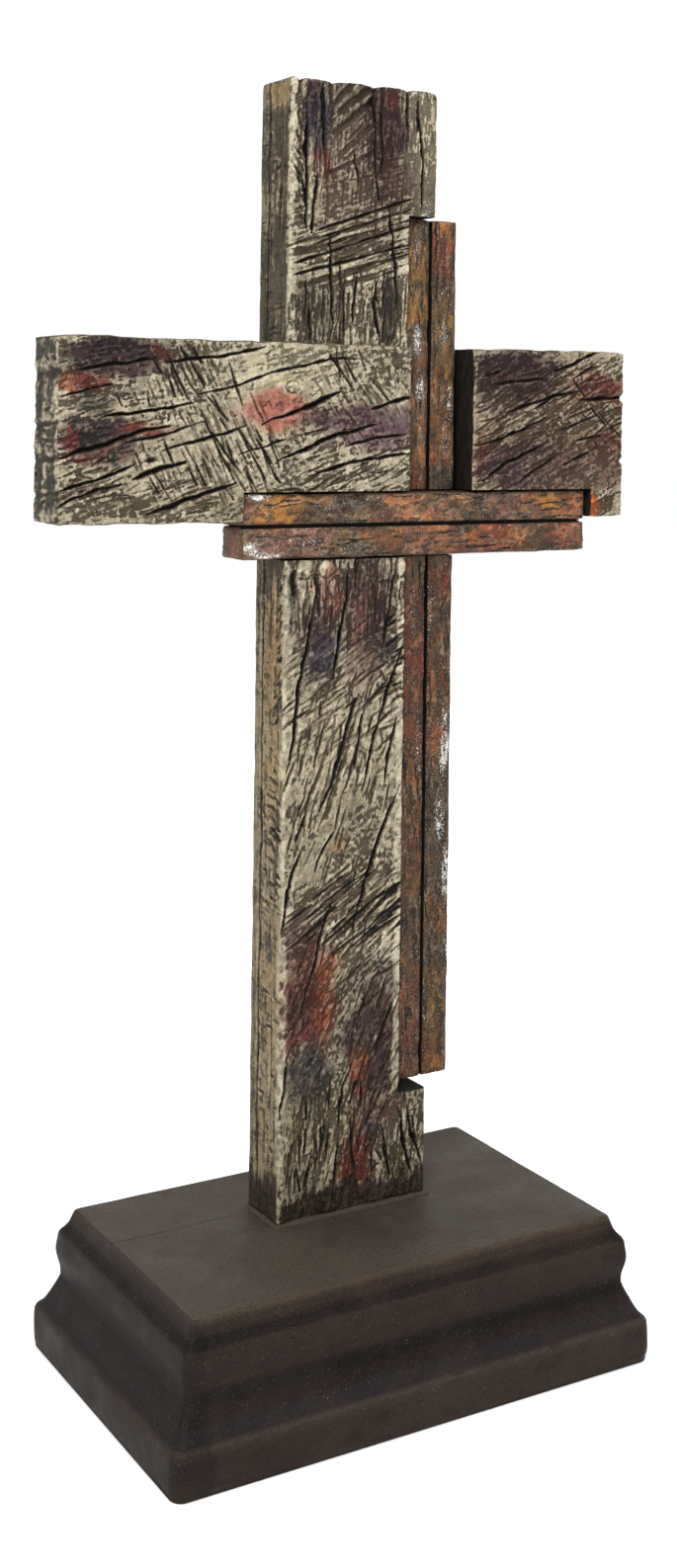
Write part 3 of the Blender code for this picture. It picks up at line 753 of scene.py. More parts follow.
# Tool marks: start, end, width and depth.
UPRIGHT_GOUGES = [
    (-9.5, 350.0, -3.0, 356.5, 2.4, 0.6), (-8.6, 346.6, 2.4, 356.0, 2.6, 0.7),
    (-10.2, 340.6, 3.6, 352.4, 2.6, 0.8), (-8.6, 334.6, 2.6, 344.8, 2.0, 0.5),
    (-12.6, 329.4, 2.0, 336.6, 1.4, 0.35), (-22.0, 307.4, 8.0, 314.6, 2.6, 0.5),
    (-21.0, 298.0, 4.0, 305.4, 2.2, 0.5), (-10.0, 150.0, -1.0, 176.0, 2.0, 0.6),
    (-18.0, 150.5, -9.0, 171.0, 1.6, 0.5),
]
# Lumps: centre, half sizes and rise.
UPRIGHT_KNOBS = [
    (-17.6, 220.0, 3.4, 2.4, 0.45), (-10.6, 220.0, 2.6, 2.2, 0.45), (-8.2, 214.6, 1.5, 2.6, 0.35),
    (-18.4, 213.5, 1.6, 4.4, 0.35), (8.2, 218.8, 2.4, 3.2, 0.40), (13.6, 219.4, 1.6, 2.6, 0.30),
    (3.2, 171.5, 2.0, 3.0, 0.35), (1.0, 165.0, 1.4, 2.6, 0.30), (6.4, 170.4, 1.8, 2.4, 0.30),
    (9.6, 181.0, 1.8, 2.6, 0.30), (-22.6, 353.6, 1.6, 2.6, 0.40), (-19.4, 353.4, 1.2, 3.0, 0.30),
]
BEAM_COVERS = [
    (-26, 272, 20, 9, -0.30), (-50, 258, 16, 12, -0.38), (-40, 246, 20, 6, -0.05),
    (-86, 246, 12, 8, 0.12), (-70, 238, 20, 5, 0.18), (-44, 236, 22, 4, 0.10), (4, 264, 16, 10, -0.10),
    (-4, 246, 22, 8, 0.15), (66, 258, 30, 26, 0.24), (-70, 264, 10, 6, -0.05), (-2, 278, 22, 4, 0.15),
    (-46, 272, 10, 8, 0.05),
]
# Grain: its lean in degrees, centre and reach.
UPRIGHT_GRAINS = [
    (87, 0, 345, 40, 14), (44, -4, 344, 9, 10), (19, 0, 311, 40, 11), (88, 0, 288, 40, 10),
    (86, -4, 214, 30, 10), (29, 16, 196, 7, 22), (34, -6, 190, 20, 10), (70, 0, 162, 40, 18),
    (30, 6, 148, 16, 8), (31, 0, 122, 40, 13), (62, -6, 98, 18, 14), (58, 8, 84, 14, 16),
    (82, 0, 54, 40, 16),
]
BEAM_GRAINS = [
    (14, -78, 268, 16, 24), (-63, -54, 272, 14, 8), (-63, -42, 254, 15, 12), (16, -58, 240, 26, 6),
    (18, -20, 270, 20, 14), (20, -4, 250, 24, 12), (-56, 4, 262, 10, 10), (24, 56, 264, 20, 20),
    (28, 78, 256, 16, 22),
]
# Grooves that run down from the lobed top: place, top and lower end.
TOP_FLUTES = [(-13.9, 355, 335), (3.2, 355, 330), (5.6, 355, 330), (14.3, 355, 344), (17.6, 353, 344)]
# Splits and saw cuts: points, width and depth.
UPRIGHT_SPLITS = [
    ([(-18.9, 349), (-18.7, 314)], 1.3, 1.2), ([(-15.6, 329.8), (-16.9, 313)], 1.2, 1.0),
    ([(-13.7, 354.8), (-13.2, 340.8)], 0.9, 0.7), ([(-3.8, 337.1), (-1.7, 328.4)], 0.9, 0.7),
    ([(3.8, 331.3), (5.2, 323.6)], 0.9, 0.8), ([(17.2, 352.5), (19.7, 336.5), (19.3, 321.7)], 1.1, 1.2),
    ([(8.7, 322.7), (10.5, 305.1), (11.6, 295.3)], 1.1, 1.1), ([(-10.9, 313.4), (-9.9, 288)], 1.1, 1.1),
    ([(-2, 302.8), (-3.7, 287.1)], 1.0, 0.9), ([(4.9, 301.4), (3.7, 293.8), (5.8, 284.9)], 1.2, 1.0),
    ([(-17.3, 293), (-17.1, 283.6)], 1.0, 0.8), ([(-6.2, 298.7), (-6.3, 284.5)], 0.8, 0.7),
    ([(-14.1, 214.6), (-15.8, 201.5), (-18.9, 187.7), (-20.5, 171.9), (-22.9, 164.2)], 1.2, 1.2),
    ([(-3.8, 221.2), (-3.7, 211.5), (-6, 202.7), (-8.1, 189)], 1.3, 1.2),
    ([(0.1, 184.3), (-2.1, 178), (-5.8, 166.9), (-8.1, 160.2), (-12.3, 152.3)], 1.5, 1.1),
    ([(-15.9, 152.1), (-19.5, 145)], 1.2, 0.9), ([(11.6, 219.7), (9.9, 207.6), (8.1, 197)], 1.0, 1.0),
    ([(15.4, 198.9), (11.2, 187.8), (7.4, 176.8), (3.6, 164.5), (1.5, 156.8)], 1.1, 1.1),
    ([(13.3, 177), (10.8, 168.4), (9, 158.7)], 1.0, 0.9),
    ([(2.1, 180.8), (0.3, 171.2), (-1, 163.2)], 0.9, 0.8),
    ([(14.5, 157.4), (9.8, 148.2), (6, 138.7), (3.2, 130.9), (0.5, 122.9), (-1.3, 115.3)], 1.3, 1.3),
    ([(-17.3, 143.1), (-20.8, 135), (-23, 126.3), (-23.8, 120.4)], 1.2, 1.2),
    ([(-7.2, 127.4), (-10.3, 120.3), (-13, 111.3), (-16, 101.5), (-17.6, 95.2)], 1.0, 1.0),
    ([(-6.5, 147), (-10.3, 142.1), (-13.4, 135.6)], 0.9, 0.8),
    ([(-21.4, 84), (-22.5, 74.9), (-23.7, 70.2)], 1.1, 1.1),
    ([(13.1, 96.5), (9.7, 88.8), (7.2, 82.7)], 1.1, 0.9), ([(9.5, 61.5), (12.4, 46.3)], 1.1, 0.9),
    ([(16.1, 64), (17.2, 54.2), (20.1, 45.7)], 1.3, 1.2),
    ([(18.1, 64.5), (20.3, 56.2), (23.1, 48.3)], 1.1, 1.0),
    ([(-4.6, 59), (-5.7, 50.6), (-6.6, 42.5)], 1.1, 0.9),
    ([(-1.1, 64.8), (0.1, 54), (2.2, 40.7)], 1.0, 0.8),
    ([(-13.2, 58.1), (-14.6, 50.4), (-14.9, 44.1)], 1.0, 0.8),
    ([(0.6, 82.4), (-3.2, 74.1), (-4.9, 63.3)], 0.9, 0.8),
]
SAW_CUTS = [
    ([(-15.7, 313.6), (15.5, 324.3)], 1.1, 0.9), ([(-14.4, 311.8), (15.9, 321.5)], 0.9, 0.7),
    ([(-9.6, 311.2), (14.9, 318.3)], 0.7, 0.5), ([(-22.8, 304.2), (15, 316.6)], 1.2, 0.9),
    ([(-22.7, 300.9), (15, 311.5)], 1.2, 0.8),
]
BEAM_SPLITS = [
    ([(-88.7, 273.4), (-74.6, 275.8), (-64.1, 277.6)], 1.0, 0.9),
    ([(-61.8, 276.4), (-41.2, 279.6), (-31.9, 281.5)], 1.1, 1.0),
    ([(-91.2, 266.5), (-82.9, 268.7), (-77.3, 270.1)], 1.0, 0.9),
    ([(-81.9, 261.2), (-67.1, 263), (-52.9, 265.8)], 1.0, 0.9),
    ([(-92.4, 250.2), (-78.2, 254.1), (-67.6, 258.3), (-60.4, 259.4)], 1.4, 1.3),
    ([(-74.3, 254.1), (-58.4, 257.8), (-50.2, 260.5)], 0.8, 0.7),
    ([(-92.6, 241.4), (-81.7, 244.3), (-70.6, 248.4)], 1.0, 0.9),
    ([(-92.3, 237.3), (-83.6, 241), (-74.1, 243.2)], 1.1, 0.9),
    ([(-70.8, 244.5), (-63.7, 247.6), (-55.6, 249.2)], 1.8, 1.4),
    ([(-62.9, 252.6), (-50.1, 255.8), (-37.9, 259.3)], 1.0, 0.8),
    ([(-66.7, 235.1), (-58.9, 237.6), (-40.4, 243.8)], 1.6, 1.1),
    ([(-52.4, 267.9), (-39.9, 270.5), (-31.8, 273.9), (-21, 276.1), (-11.9, 278.5), (-0.9, 279.1)], 0.9, 0.6),
    ([(-32.8, 259.9), (-22.3, 263.5), (-7.9, 269.2)], 1.5, 1.3),
    ([(-28, 249.4), (-10.6, 256.5), (3.6, 260)], 1.2, 1.1),
    ([(-18, 245.3), (-5, 249.4), (15.3, 251.9)], 1.1, 0.9),
    ([(-6.7, 253.8), (4.3, 256.3), (13.6, 257.5)], 1.0, 0.8), ([(0.6, 264.1), (15.4, 268.5)], 1.1, 0.9),
    ([(-39.9, 251.5), (-26, 255.4)], 0.8, 0.6), ([(40, 274.7), (45.6, 276.3)], 0.9, 0.7),
    ([(42.5, 272.7), (54.6, 273.3), (61.5, 274.9)], 1.0, 0.8),
    ([(62.9, 275.5), (70.3, 278.1), (82.2, 282.5)], 1.2, 1.1),
    ([(48.3, 263.8), (59.1, 267.5), (72.6, 271)], 1.1, 0.9),
    ([(56.6, 264.5), (65.3, 268.8), (74.5, 270.7)], 0.9, 0.7), ([(74.5, 268), (92.7, 269.2)], 1.5, 1.2),
    ([(37.5, 254.2), (47, 256.3), (56.6, 259.8), (63.1, 262.8)], 1.0, 0.9),
    ([(40.5, 243.5), (49.6, 249.3), (58.6, 252.8), (61.8, 254.9)], 1.3, 1.1),
    ([(53.7, 243.4), (60.1, 247.5), (66.3, 250.8)], 1.0, 0.8), ([(72.9, 255.5), (83.4, 257.4)], 0.9, 0.7),
    ([(68.5, 248.1), (78.9, 251.9)], 0.9, 0.7), ([(73.3, 274.6), (80.4, 278)], 0.9, 0.7),
    ([(66.5, 258.4), (82.1, 263.6)], 0.8, 0.6),
]
# Long single scratches: start and end.
BEAM_SCRATCHES = [
    (-12.5, 281.0, -3.7, 269.9), (0.5, 274.4, 8.5, 266.2), (-61.8, 279.3, -55.9, 268.1),
    (-57.2, 280.7, -50.3, 270.6), (-76.7, 269.0, -74.4, 264.4), (-57.8, 281.2, -55.7, 277.9),
    (-54.3, 281.8, -51.3, 276.7), (-50.0, 268.0, -43.1, 261.1), (-48.8, 268.8, -45.5, 264.3),
    (-67.1, 268.4, -66.5, 264.5), (-61.5, 273.8, -59.1, 267.3), (-43.3, 277.7, -38.9, 264.9),
    (-51.1, 262.1, -40.4, 243.5), (-49.6, 259.5, -39.0, 246.2), (-46.1, 262.7, -43.0, 257.9),
    (-62.7, 256.2, -59.1, 248.9), (-53.0, 249.4, -49.4, 242.8), (-39.1, 256.9, -31.3, 243.5),
    (-35.2, 256.9, -29.9, 248.9), (-10.0, 281.9, -8.3, 273.6), (-8.4, 281.4, -3.4, 272.4),
    (-44.2, 256.9, -41.1, 248.9), (-40.7, 259.6, -35.7, 252.9), (-55.3, 248.9, -52.3, 243.1),
    (-66.8, 246.3, -63.3, 241.1), (-65.4, 247.6, -61.6, 242.1), (-35.2, 259.6, -32.7, 255.3),
    (-29.8, 246.7, -27.0, 243.4), (80.6, 266.0, 92.2, 256.2), (78.7, 266.6, 85.2, 260.7),
    (72.2, 275.4, 76.8, 269.6),
]
# Scratched ovals: centre, half sizes, lean, count, lengths, width, depth, blackness and spread of lean.
UPRIGHT_HATCHES = [
    ((-1, 335), (20, 20), 88, 90, (5, 16), 0.7, 0.35, 0.5, 4),
    ((-4, 343), (9, 12), 42, 34, (5, 12), 0.8, 0.35, 0.5, 4),
    ((-20.8, 333), (1.5, 16), -62, 30, (2, 5), 0.9, 0.45, 0.9, 8),
    ((6, 330), (12, 6), 18, 14, (5, 12), 0.7, 0.3, 0.4, 4),
    ((-2, 309), (21, 9), 19, 50, (5, 16), 0.8, 0.4, 0.8, 3),
    ((0, 292), (21, 10), 88, 76, (4, 12), 0.9, 0.45, 0.8, 5),
    ((-4, 212), (20, 12), 86, 70, (4, 12), 0.8, 0.4, 0.8, 6),
    ((15, 196), (6, 22), 28, 64, (2.5, 6), 1.1, 0.5, 1.0, 6),
    ((-8, 196), (14, 12), 30, 36, (5, 12), 0.7, 0.3, 0.6, 6),
    ((-4, 178), (20, 14), 30, 64, (5, 14), 0.8, 0.45, 0.8, 6),
    ((-6, 160), (18, 30), 72, 90, (4, 14), 0.8, 0.45, 0.8, 6),
    ((0, 124), (23, 10), 31, 80, (6, 20), 0.9, 0.5, 1.0, 4),
    ((4, 104), (18, 12), 36, 44, (4, 12), 0.8, 0.4, 0.8, 7),
    ((-6, 96), (16, 26), 68, 70, (4, 12), 0.8, 0.4, 0.7, 8),
    ((8, 84), (10, 20), 60, 40, (5, 14), 0.8, 0.4, 0.8, 6),
    ((-6, 58), (16, 16), 80, 90, (3, 9), 0.8, 0.4, 0.9, 10),
    ((14, 56), (9, 14), 108, 24, (4, 9), 0.8, 0.4, 0.8, 6),
]
BEAM_HATCHES = [
    ((-56, 275), (10, 7), -64, 30, (3, 9), 0.7, 0.35, 0.8, 5),
    ((-42, 254), (14, 13), -63, 60, (4, 14), 0.7, 0.4, 0.8, 4),
    ((-60, 266), (12, 5), -64, 26, (3, 7), 0.7, 0.3, 0.5, 5),
    ((-62, 246), (14, 7), -64, 36, (3, 8), 0.7, 0.35, 0.7, 6),
    ((-6, 272), (14, 10), -58, 26, (5, 13), 0.7, 0.35, 0.6, 6),
    ((4, 262), (14, 10), -52, 18, (5, 12), 0.7, 0.3, 0.6, 6),
    ((-4, 248), (24, 12), 20, 60, (3, 9), 0.8, 0.4, 0.7, 8),
    ((-82, 243), (12, 8), 18, 36, (3, 8), 0.8, 0.4, 0.7, 10),
    ((-50, 240), (30, 5), 14, 40, (3, 9), 0.8, 0.4, 0.6, 8),
    ((64, 262), (26, 18), 24, 110, (4, 12), 0.8, 0.4, 0.7, 8),
    ((84, 262), (8, 12), -48, 20, (3, 9), 0.6, 0.3, 0.6, 6),
    ((86, 238), (7, 6), 50, 16, (3, 6), 0.6, 0.3, 0.5, 30),
]
# The same for a side of the upright, with the centre's distance behind the front.
SIDE_HATCHES = [
    (2.6, 198, (2.0, 22), -50, 56, (1.6, 3.6), 0.8, 0.4, 1.1, 10),
    (3.0, 146, (3.0, 22), 22, 36, (2.0, 5.0), 0.9, 0.4, 1.0, 10),
    (5.0, 110, (5.0, 60), 10, 60, (1.4, 4.8), 0.8, 0.3, 0.9, 12),
    (7.0, 318, (7.0, 36), 2, 76, (1.6, 6.0), 0.8, 0.3, 0.8, 8),
    (7.0, 318, (7.0, 36), 88, 60, (2.0, 8.0), 0.8, 0.3, 0.8, 8),
]
# Stains: centre, half sizes, name and strength.
UPRIGHT_STAINS = [
    (-2.0, 332.0, 15.0, 16.0, "mauve", 0.40), (-4.0, 163.0, 18.0, 20.0, "olive_tint", 0.18),
    (-6.0, 74.0, 18.0, 24.0, "olive_tint", 0.20), (-14.8, 350.7, 3.6, 7.0, "plum", 0.85),
    (-13.7, 342.7, 4.0, 8.0, "slate", 0.80), (-3.9, 353.0, 6.6, 5.8, "umber", 0.60),
    (7.3, 341.1, 6.6, 14.3, "plum", 0.95), (10.9, 351.4, 2.0, 2.2, "brick", 0.60),
    (-12.8, 332.8, 1.5, 3.6, "brick", 0.70), (11.1, 329.2, 5.0, 3.5, "mauve", 0.50),
    (8.5, 292.3, 2.5, 7.6, "slate_dark", 0.85), (-17.0, 292.1, 6.5, 8.2, "olive_dark", 0.55),
    (19.7, 337.9, 4.7, 18.2, "cream", 0.30), (-9.2, 214.3, 3.4, 6.5, "rose", 0.60),
    (3.2, 207.6, 7.4, 14.3, "plum", 0.70), (-0.5, 204.1, 3.3, 8.4, "brick", 0.32),
    (-12.2, 196.4, 4.6, 7.7, "slate", 0.80), (-13.2, 204.4, 7.2, 5.2, "plum", 0.60),
    (9.8, 196.4, 6.6, 3.4, "slate_dark", 0.60), (1.1, 192.9, 4.4, 5.6, "mauve", 0.50),
    (-21.4, 212.7, 1.6, 6.0, "olive_dark", 0.70), (-5.4, 141.6, 2.6, 2.2, "tan", 0.50),
    (-17.2, 117.6, 5.0, 5.5, "mauve", 0.70), (-18.4, 116.9, 3.1, 3.0, "slate", 0.40),
    (-15.0, 99.2, 7.6, 13.2, "brick", 0.80), (-7.5, 108.0, 3.2, 3.3, "orange", 0.50),
    (-9.3, 95.8, 2.2, 8.6, "orange", 0.45), (-17.5, 99.3, 4.4, 6.9, "plum", 0.50),
    (-14.6, 79.3, 5.9, 6.6, "slate_dark", 0.80), (10.3, 103.4, 4.2, 4.5, "slate_dark", 0.50),
    (6.8, 85.6, 7.6, 14.9, "purple", 0.85), (2.0, 76.8, 2.0, 4.8, "orange", 0.45),
    (7.5, 65.3, 6.6, 5.4, "mauve", 0.70), (5.9, 58.2, 3.0, 5.3, "slate", 0.70),
    (1.3, 51.3, 5.4, 7.6, "orange_red", 0.70), (0.0, 57.6, 3.6, 7.0, "brick", 0.50),
    (-15.4, 60.2, 8.2, 12.1, "olive_tint", 0.35),
]
BEAM_STAINS = [
    (62.0, 262.0, 25.0, 19.0, "brown_red", 0.36), (60.0, 249.0, 24.0, 8.0, "brown_red", 0.40),
    (-24.6, 275.3, 16.3, 7.5, "cream", 0.40), (-44.3, 238.2, 22.4, 2.7, "olive_tint", 0.40),
    (-77.0, 278.6, 13.7, 4.9, "plum_dark", 0.95), (-62.8, 279.0, 2.4, 1.8, "brick", 0.80),
    (-70.4, 274.1, 8.4, 1.8, "plum", 0.60), (-84.9, 269.8, 6.2, 2.9, "brick", 0.80),
    (-90.2, 268.0, 1.4, 1.8, "orange", 0.60), (-82.4, 264.6, 4.6, 2.3, "olive_dark", 0.60),
    (-81.8, 256.2, 9.1, 4.2, "plum_dark", 0.95), (-80.0, 254.6, 9.0, 4.0, "plum_dark", 0.95),
    (-83.2, 255.9, 2.8, 1.8, "slate_green", 0.45), (-89.8, 255.1, 1.6, 4.1, "brick", 0.70),
    (-68.0, 257.6, 5.5, 1.4, "brick", 0.90), (-85.3, 251.0, 4.4, 1.5, "brick", 0.50),
    (-75.1, 252.0, 5.3, 2.1, "mauve", 0.60), (-28.3, 263.6, 9.2, 4.2, "pink", 0.80),
    (-14.3, 262.3, 6.2, 3.0, "purple", 0.60), (-77.2, 250.4, 1.8, 1.4, "slate_green", 0.70),
    (-82.7, 242.0, 6.9, 1.8, "plum", 0.50), (2.7, 259.0, 13.6, 5.2, "mauve_deep", 0.75),
    (50.6, 275.7, 13.8, 6.6, "purple", 0.95), (83.8, 271.6, 9.3, 3.8, "brick", 0.70),
    (91.2, 266.9, 2.3, 2.0, "brick", 0.60), (87.1, 254.5, 6.3, 5.0, "brick", 0.70),
    (40.8, 250.7, 3.9, 4.9, "brick", 0.60), (55.4, 248.3, 13.2, 6.0, "slate_purple", 0.75),
    (76.2, 246.7, 16.9, 4.6, "mauve", 0.65), (81.6, 235.4, 2.6, 3.2, "amber", 0.85),
]


# Sizes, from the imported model

CROSS_HIGH = box_mm("cross_body")[1]
UPPER_LOW, UPPER_HIGH = box_mm("crosswise_bar_upper")
LOWER_LOW, LOWER_HIGH = box_mm("crosswise_bar_lower")
INNER_LOW, INNER_HIGH = box_mm("upright_bar_inner")
OUTER_LOW, OUTER_HIGH = box_mm("upright_bar_outer")
BASE_LOW, BASE_HIGH = box_mm("base")
POST_HALF = 24.35
POST_FRONT, POST_BACK = -0.65, 16.35
BEAM_FRONT, BEAM_BACK = -2.65, 14.35
POST_TOP, POST_FOOT = CROSS_HIGH[2] - 0.05, 39.3
CHANNEL_FOOT = 69.3
BEAM_TOP, BEAM_UNDERSIDE = 283.0, 232.5
HOUSING_BACK = POST_FRONT + 12.2
PITCH = 0.32
POST_SEAM = 140.0
BEAM_SEAM = 20.0


def wash_down(relief, height, rise):
    """The base's dark paint, brushed a little way up the foot."""
    u, v = relief.u, relief.v
    edge = height + rise * cloud(u / 4, u * 0 + 2.0, 31, 3) + 2.2 * cloud(u / 0.9, v / 5, 33, 4)
    share = smooth(edge + 1.6, edge - 1.6, v)
    relief.paint = blend(relief.paint, srgb(66, 55, 45), share * 0.93)
    relief.under = blend(relief.under, srgb(42, 35, 30), share * 0.93)
    relief.split = relief.split * (1 - share * 0.7)


def upright_front():
    """The upright's carved face, from the base to its lobed top."""
    face = Relief((-POST_HALF, POST_FOOT), (POST_HALF, POST_TOP), PITCH)
    weathered(face, UPRIGHT_GRAINS, UPRIGHT_COVERS, 40, -0.10)
    u, v = face.u, face.v
    flutes = lobes(-1, u) / 1.1 * smooth(POST_TOP - 18, POST_TOP - 2, v)
    face.height -= 1.1 * flutes
    # The flutes darken with the brown as painted shade.
    face.paint = blend(face.paint, WASH_AND_SHADE_BROWN, flutes * 0.7)
    for split, width, depth in UPRIGHT_SPLITS:
        face.groove(split, width, depth)
    for cut, width, depth in SAW_CUTS:
        face.groove(cut, width * 0.85, depth, 0.85, wander=0.15, taper=0.05)
    for u0, v0, u1, v1, width, depth in UPRIGHT_GOUGES:
        face.gouge((u0, v0), (u1, v1), width, depth)
    for cu, cv, hu, hv, rise in UPRIGHT_KNOBS:
        face.knob((cu, cv), (hu, hv), rise)
    for scratches in UPRIGHT_HATCHES:
        face.hatch(*scratches)
    for u0, top, low in TOP_FLUTES:
        face.groove([(u0, top + 1), (u0 + 0.3, low)], 1.1, 0.8, 0.9)
    face.groove([(-20.9, 219.5), (-20.9, 213)], 2.0, 0.8, 0.8)
    face.groove([(-13.9, 221), (-13.8, 215), (-13.2, 207)], 1.7, 0.9, 0.75)
    face.stain(UPRIGHT_STAINS, 50)
    face.finish_paint(60)
    ridge_width = 2.9 - 0.9 * smooth(290, 225, v)
    ridge = smooth(ridge_width, ridge_width - 1.1, (u + POST_HALF) + 0.9 * cloud(v / 6, v * 0 + 1.0, 61, 4))
    notches = smooth(0.12, 0.4, cloud(v / 2.4, u / 1.6, 63, 4))
    face.paint = blend(face.paint, CREAM_LIGHT * 0.92, ridge * 0.72 * (1 - notches))
    face.wear -= 0.6 * ridge * (1 - notches)
    face.height += 0.25 * ridge
    off_rim = np.abs(u - (INNER_LOW[0] - 1.0)) + 0.5 * cloud(v / 5, u / 5, 62, 2)
    rim = smooth(1.6, 0.7, off_rim) * (v > 69) * (v < 320)
    face.paint = blend(face.paint, CREAM_LIGHT, rim * 0.6)
    face.wear -= 0.45 * rim
    # A painted highlight on the lower right corner of the upper block, also glossier there.
    glint = smooth(1.5, 0.5, np.hypot((u - 21.4) / 1.6, (v - 321.8) / 2.6))
    face.shine = np.maximum(face.shine, glint)
    wash_down(face, 46.5, 2.2)
    corner = smooth(1.5, 0.6, u + POST_HALF + 0.6 * cloud(v / 3, v * 0, 65, 3)) * smooth(48, 45, v)
    face.paint = blend(face.paint, CREAM, corner * 0.7)
    face.wear -= 0.5 * corner
    return face


def upright_side(seed, photographed):
    """An edge of the upright: long grain, a dark parting line and a paler rounded back band."""
    side = Relief((POST_FRONT, POST_FOOT), (POST_BACK, POST_TOP), 0.38)
    y, z = side.u, side.v
    lines = streaks(y, z, 90, 26.0, 0.9, seed, 3)
    patchy = cloud(y / 6, z / 9, seed + 1, 4)
    side.height += -0.04 + 0.12 * lines + 0.16 * patchy
    paint = blend(side.paint + srgb(146, 134, 106), srgb(112, 102, 78), smooth(-0.4, 0.6, lines))
    paint = blend(paint, srgb(166, 156, 130), smooth(0.1, 0.8, streaks(y, z, 90, 18, 1.3, seed + 2, 3)) * 0.6)
    ochre = smooth(0.0, 0.6, cloud(y / 9, z / 26, seed + 3, 3)) * 0.35
    ochre = np.maximum(ochre, 0.85 * np.exp(-((z - 198) / 20) ** 2) * smooth(11.5, 9.5, y))
    ochre = np.maximum(ochre, 0.5 * smooth(345, 350, z))
    low = smooth(214, 188, z)
    paint = blend(paint, srgb(170, 152, 118), low * 0.55)
    side.paint = blend(paint, STAINS["ochre"], ochre)
    damp = smooth(-0.5, 0.5, cloud(y / 3, z / 6, seed + 9, 3))
    side.under = blend(side.under + srgb(80, 73, 57), srgb(54, 48, 38), damp)
    cross = streaks(y, z, 4, 3.0, 0.8, seed + 12, 2)
    upper = smooth(270, 290, z)
    side.wear = 0.45 * streaks(y, z, 90, 7.0, 0.9, seed + 13, 4) + 0.25 * cross + 0.40 * patchy - 0.02
    side.wear += 0.35 * cloud(y / 1.1, z / 1.4, seed + 17, 4)
    side.wear -= 0.16 * low
    side.wear += 0.34 * upper - 0.7 * smooth(346, 351, z) - 0.55 * np.exp(-((z - 321) / 4.5) ** 2)
    side.wear += 0.6 * np.exp(-((z - 224) / 9) ** 2) * smooth(10.5, 8.5, y)
    back = smooth(POST_BACK - 4.8, POST_BACK - 3.4, y + 0.7 * cloud(z / 12, y * 0, seed + 4, 2))
    side.paint = blend(side.paint, srgb(128, 119, 98), back * 0.8)
    side.wear -= 0.15 * back * (1 - 0.7 * upper)
    edge = smooth(POST_BACK - 1.6, POST_BACK - 0.7, y + 0.3 * cloud(z / 6, y * 0, seed + 7, 2))
    side.paint = blend(side.paint, srgb(160, 154, 136), edge * 0.6)
    side.wear -= 0.25 * edge
    front = smooth(POST_FRONT + 1.5, POST_FRONT + 0.6, y + 0.8 * cloud(z / 5, y * 0, seed + 6, 4))
    side.paint = blend(side.paint, CREAM, front * 0.9)
    side.wear -= 0.7 * front
    for k in range(3):
        start = POST_FOOT + k * 105
        line = [(POST_BACK - 5.2, start), (POST_BACK - 5.0, start + 50), (POST_BACK - 5.3, start + 118)]
        side.groove(line, 1.1, 0.45, 0.95, taper=0.05)
    for k in range(34):
        z0 = SEED.uniform(POST_FOOT + 6, POST_TOP - 20)
        y0 = SEED.uniform(POST_FRONT + 1.0, POST_BACK - 1.5)
        side.groove([(y0, z0), (y0 + SEED.uniform(-0.8, 0.8), z0 + SEED.uniform(8, 40))], 0.8, 0.3, 0.8)
    for back, z, *scratches in SIDE_HATCHES:
        side.hatch((POST_FRONT + back, z), *scratches)
    side.finish_paint(seed + 16, 0.35, 0.7)
    wash_down(side, 51.0 if photographed else 47.0, 2.5)
    side.height = np.clip(side.height, -2.2, 0.3)
    return side


def beam_front():
    """The crossbeam's carved face."""
    half = CROSS_HIGH[0]
    face = Relief((-half, BEAM_UNDERSIDE), (half, BEAM_TOP), PITCH)
    weathered(face, BEAM_GRAINS, BEAM_COVERS, 80, -0.12)
    u, v = face.u, face.v
    for split, width, depth in BEAM_SPLITS:
        face.groove(split, width, depth)
    for u0, v0, u1, v1 in BEAM_SCRATCHES:
        face.groove([(u0, v0), (u1, v1)], 0.9, 0.5, 0.9, wander=0.15)
    for scratches in BEAM_HATCHES:
        face.hatch(*scratches)
    for radius, cu, cv in ((2.2, -23.4, 270.3), (1.7, -76.8, 250.7)):
        turns = np.linspace(0.4, 5.9, 14)
        ring = [(cu + radius * math.cos(turn), cv + radius * 0.8 * math.sin(turn)) for turn in turns]
        face.groove(ring, 0.7, 0.4, 0.7, wander=0.0)
    face.groove([(-67.2, 249.6), (-65.2, 250.1)], 1.7, 0.8, 0.9, wander=0.0)
    face.stain(BEAM_STAINS, 90)
    face.finish_paint(95)
    off_rim = np.abs(u - (OUTER_HIGH[0] + 3.6)) + 0.7 * cloud(v / 4, v * 0, 96, 3)
    rim = smooth(1.1, 0.4, off_rim) * (v > UPPER_HIGH[2] + 1)
    rim = rim * smooth(-0.35, 0.15, cloud(v / 3, u / 1.5, 98, 4))
    face.paint = blend(face.paint, srgb(202, 180, 156), rim * 0.6)
    face.wear -= 0.45 * rim
    edge = smooth(2.4, 1.0, np.minimum(BEAM_TOP - v, v - BEAM_UNDERSIDE) + 0.8 * cloud(u / 6, v / 6, 97, 3))
    face.paint = blend(face.paint, CREAM, edge * 0.45 * (1 - face.stained))
    face.wear -= 0.25 * edge * (1 - face.stained)
    return face


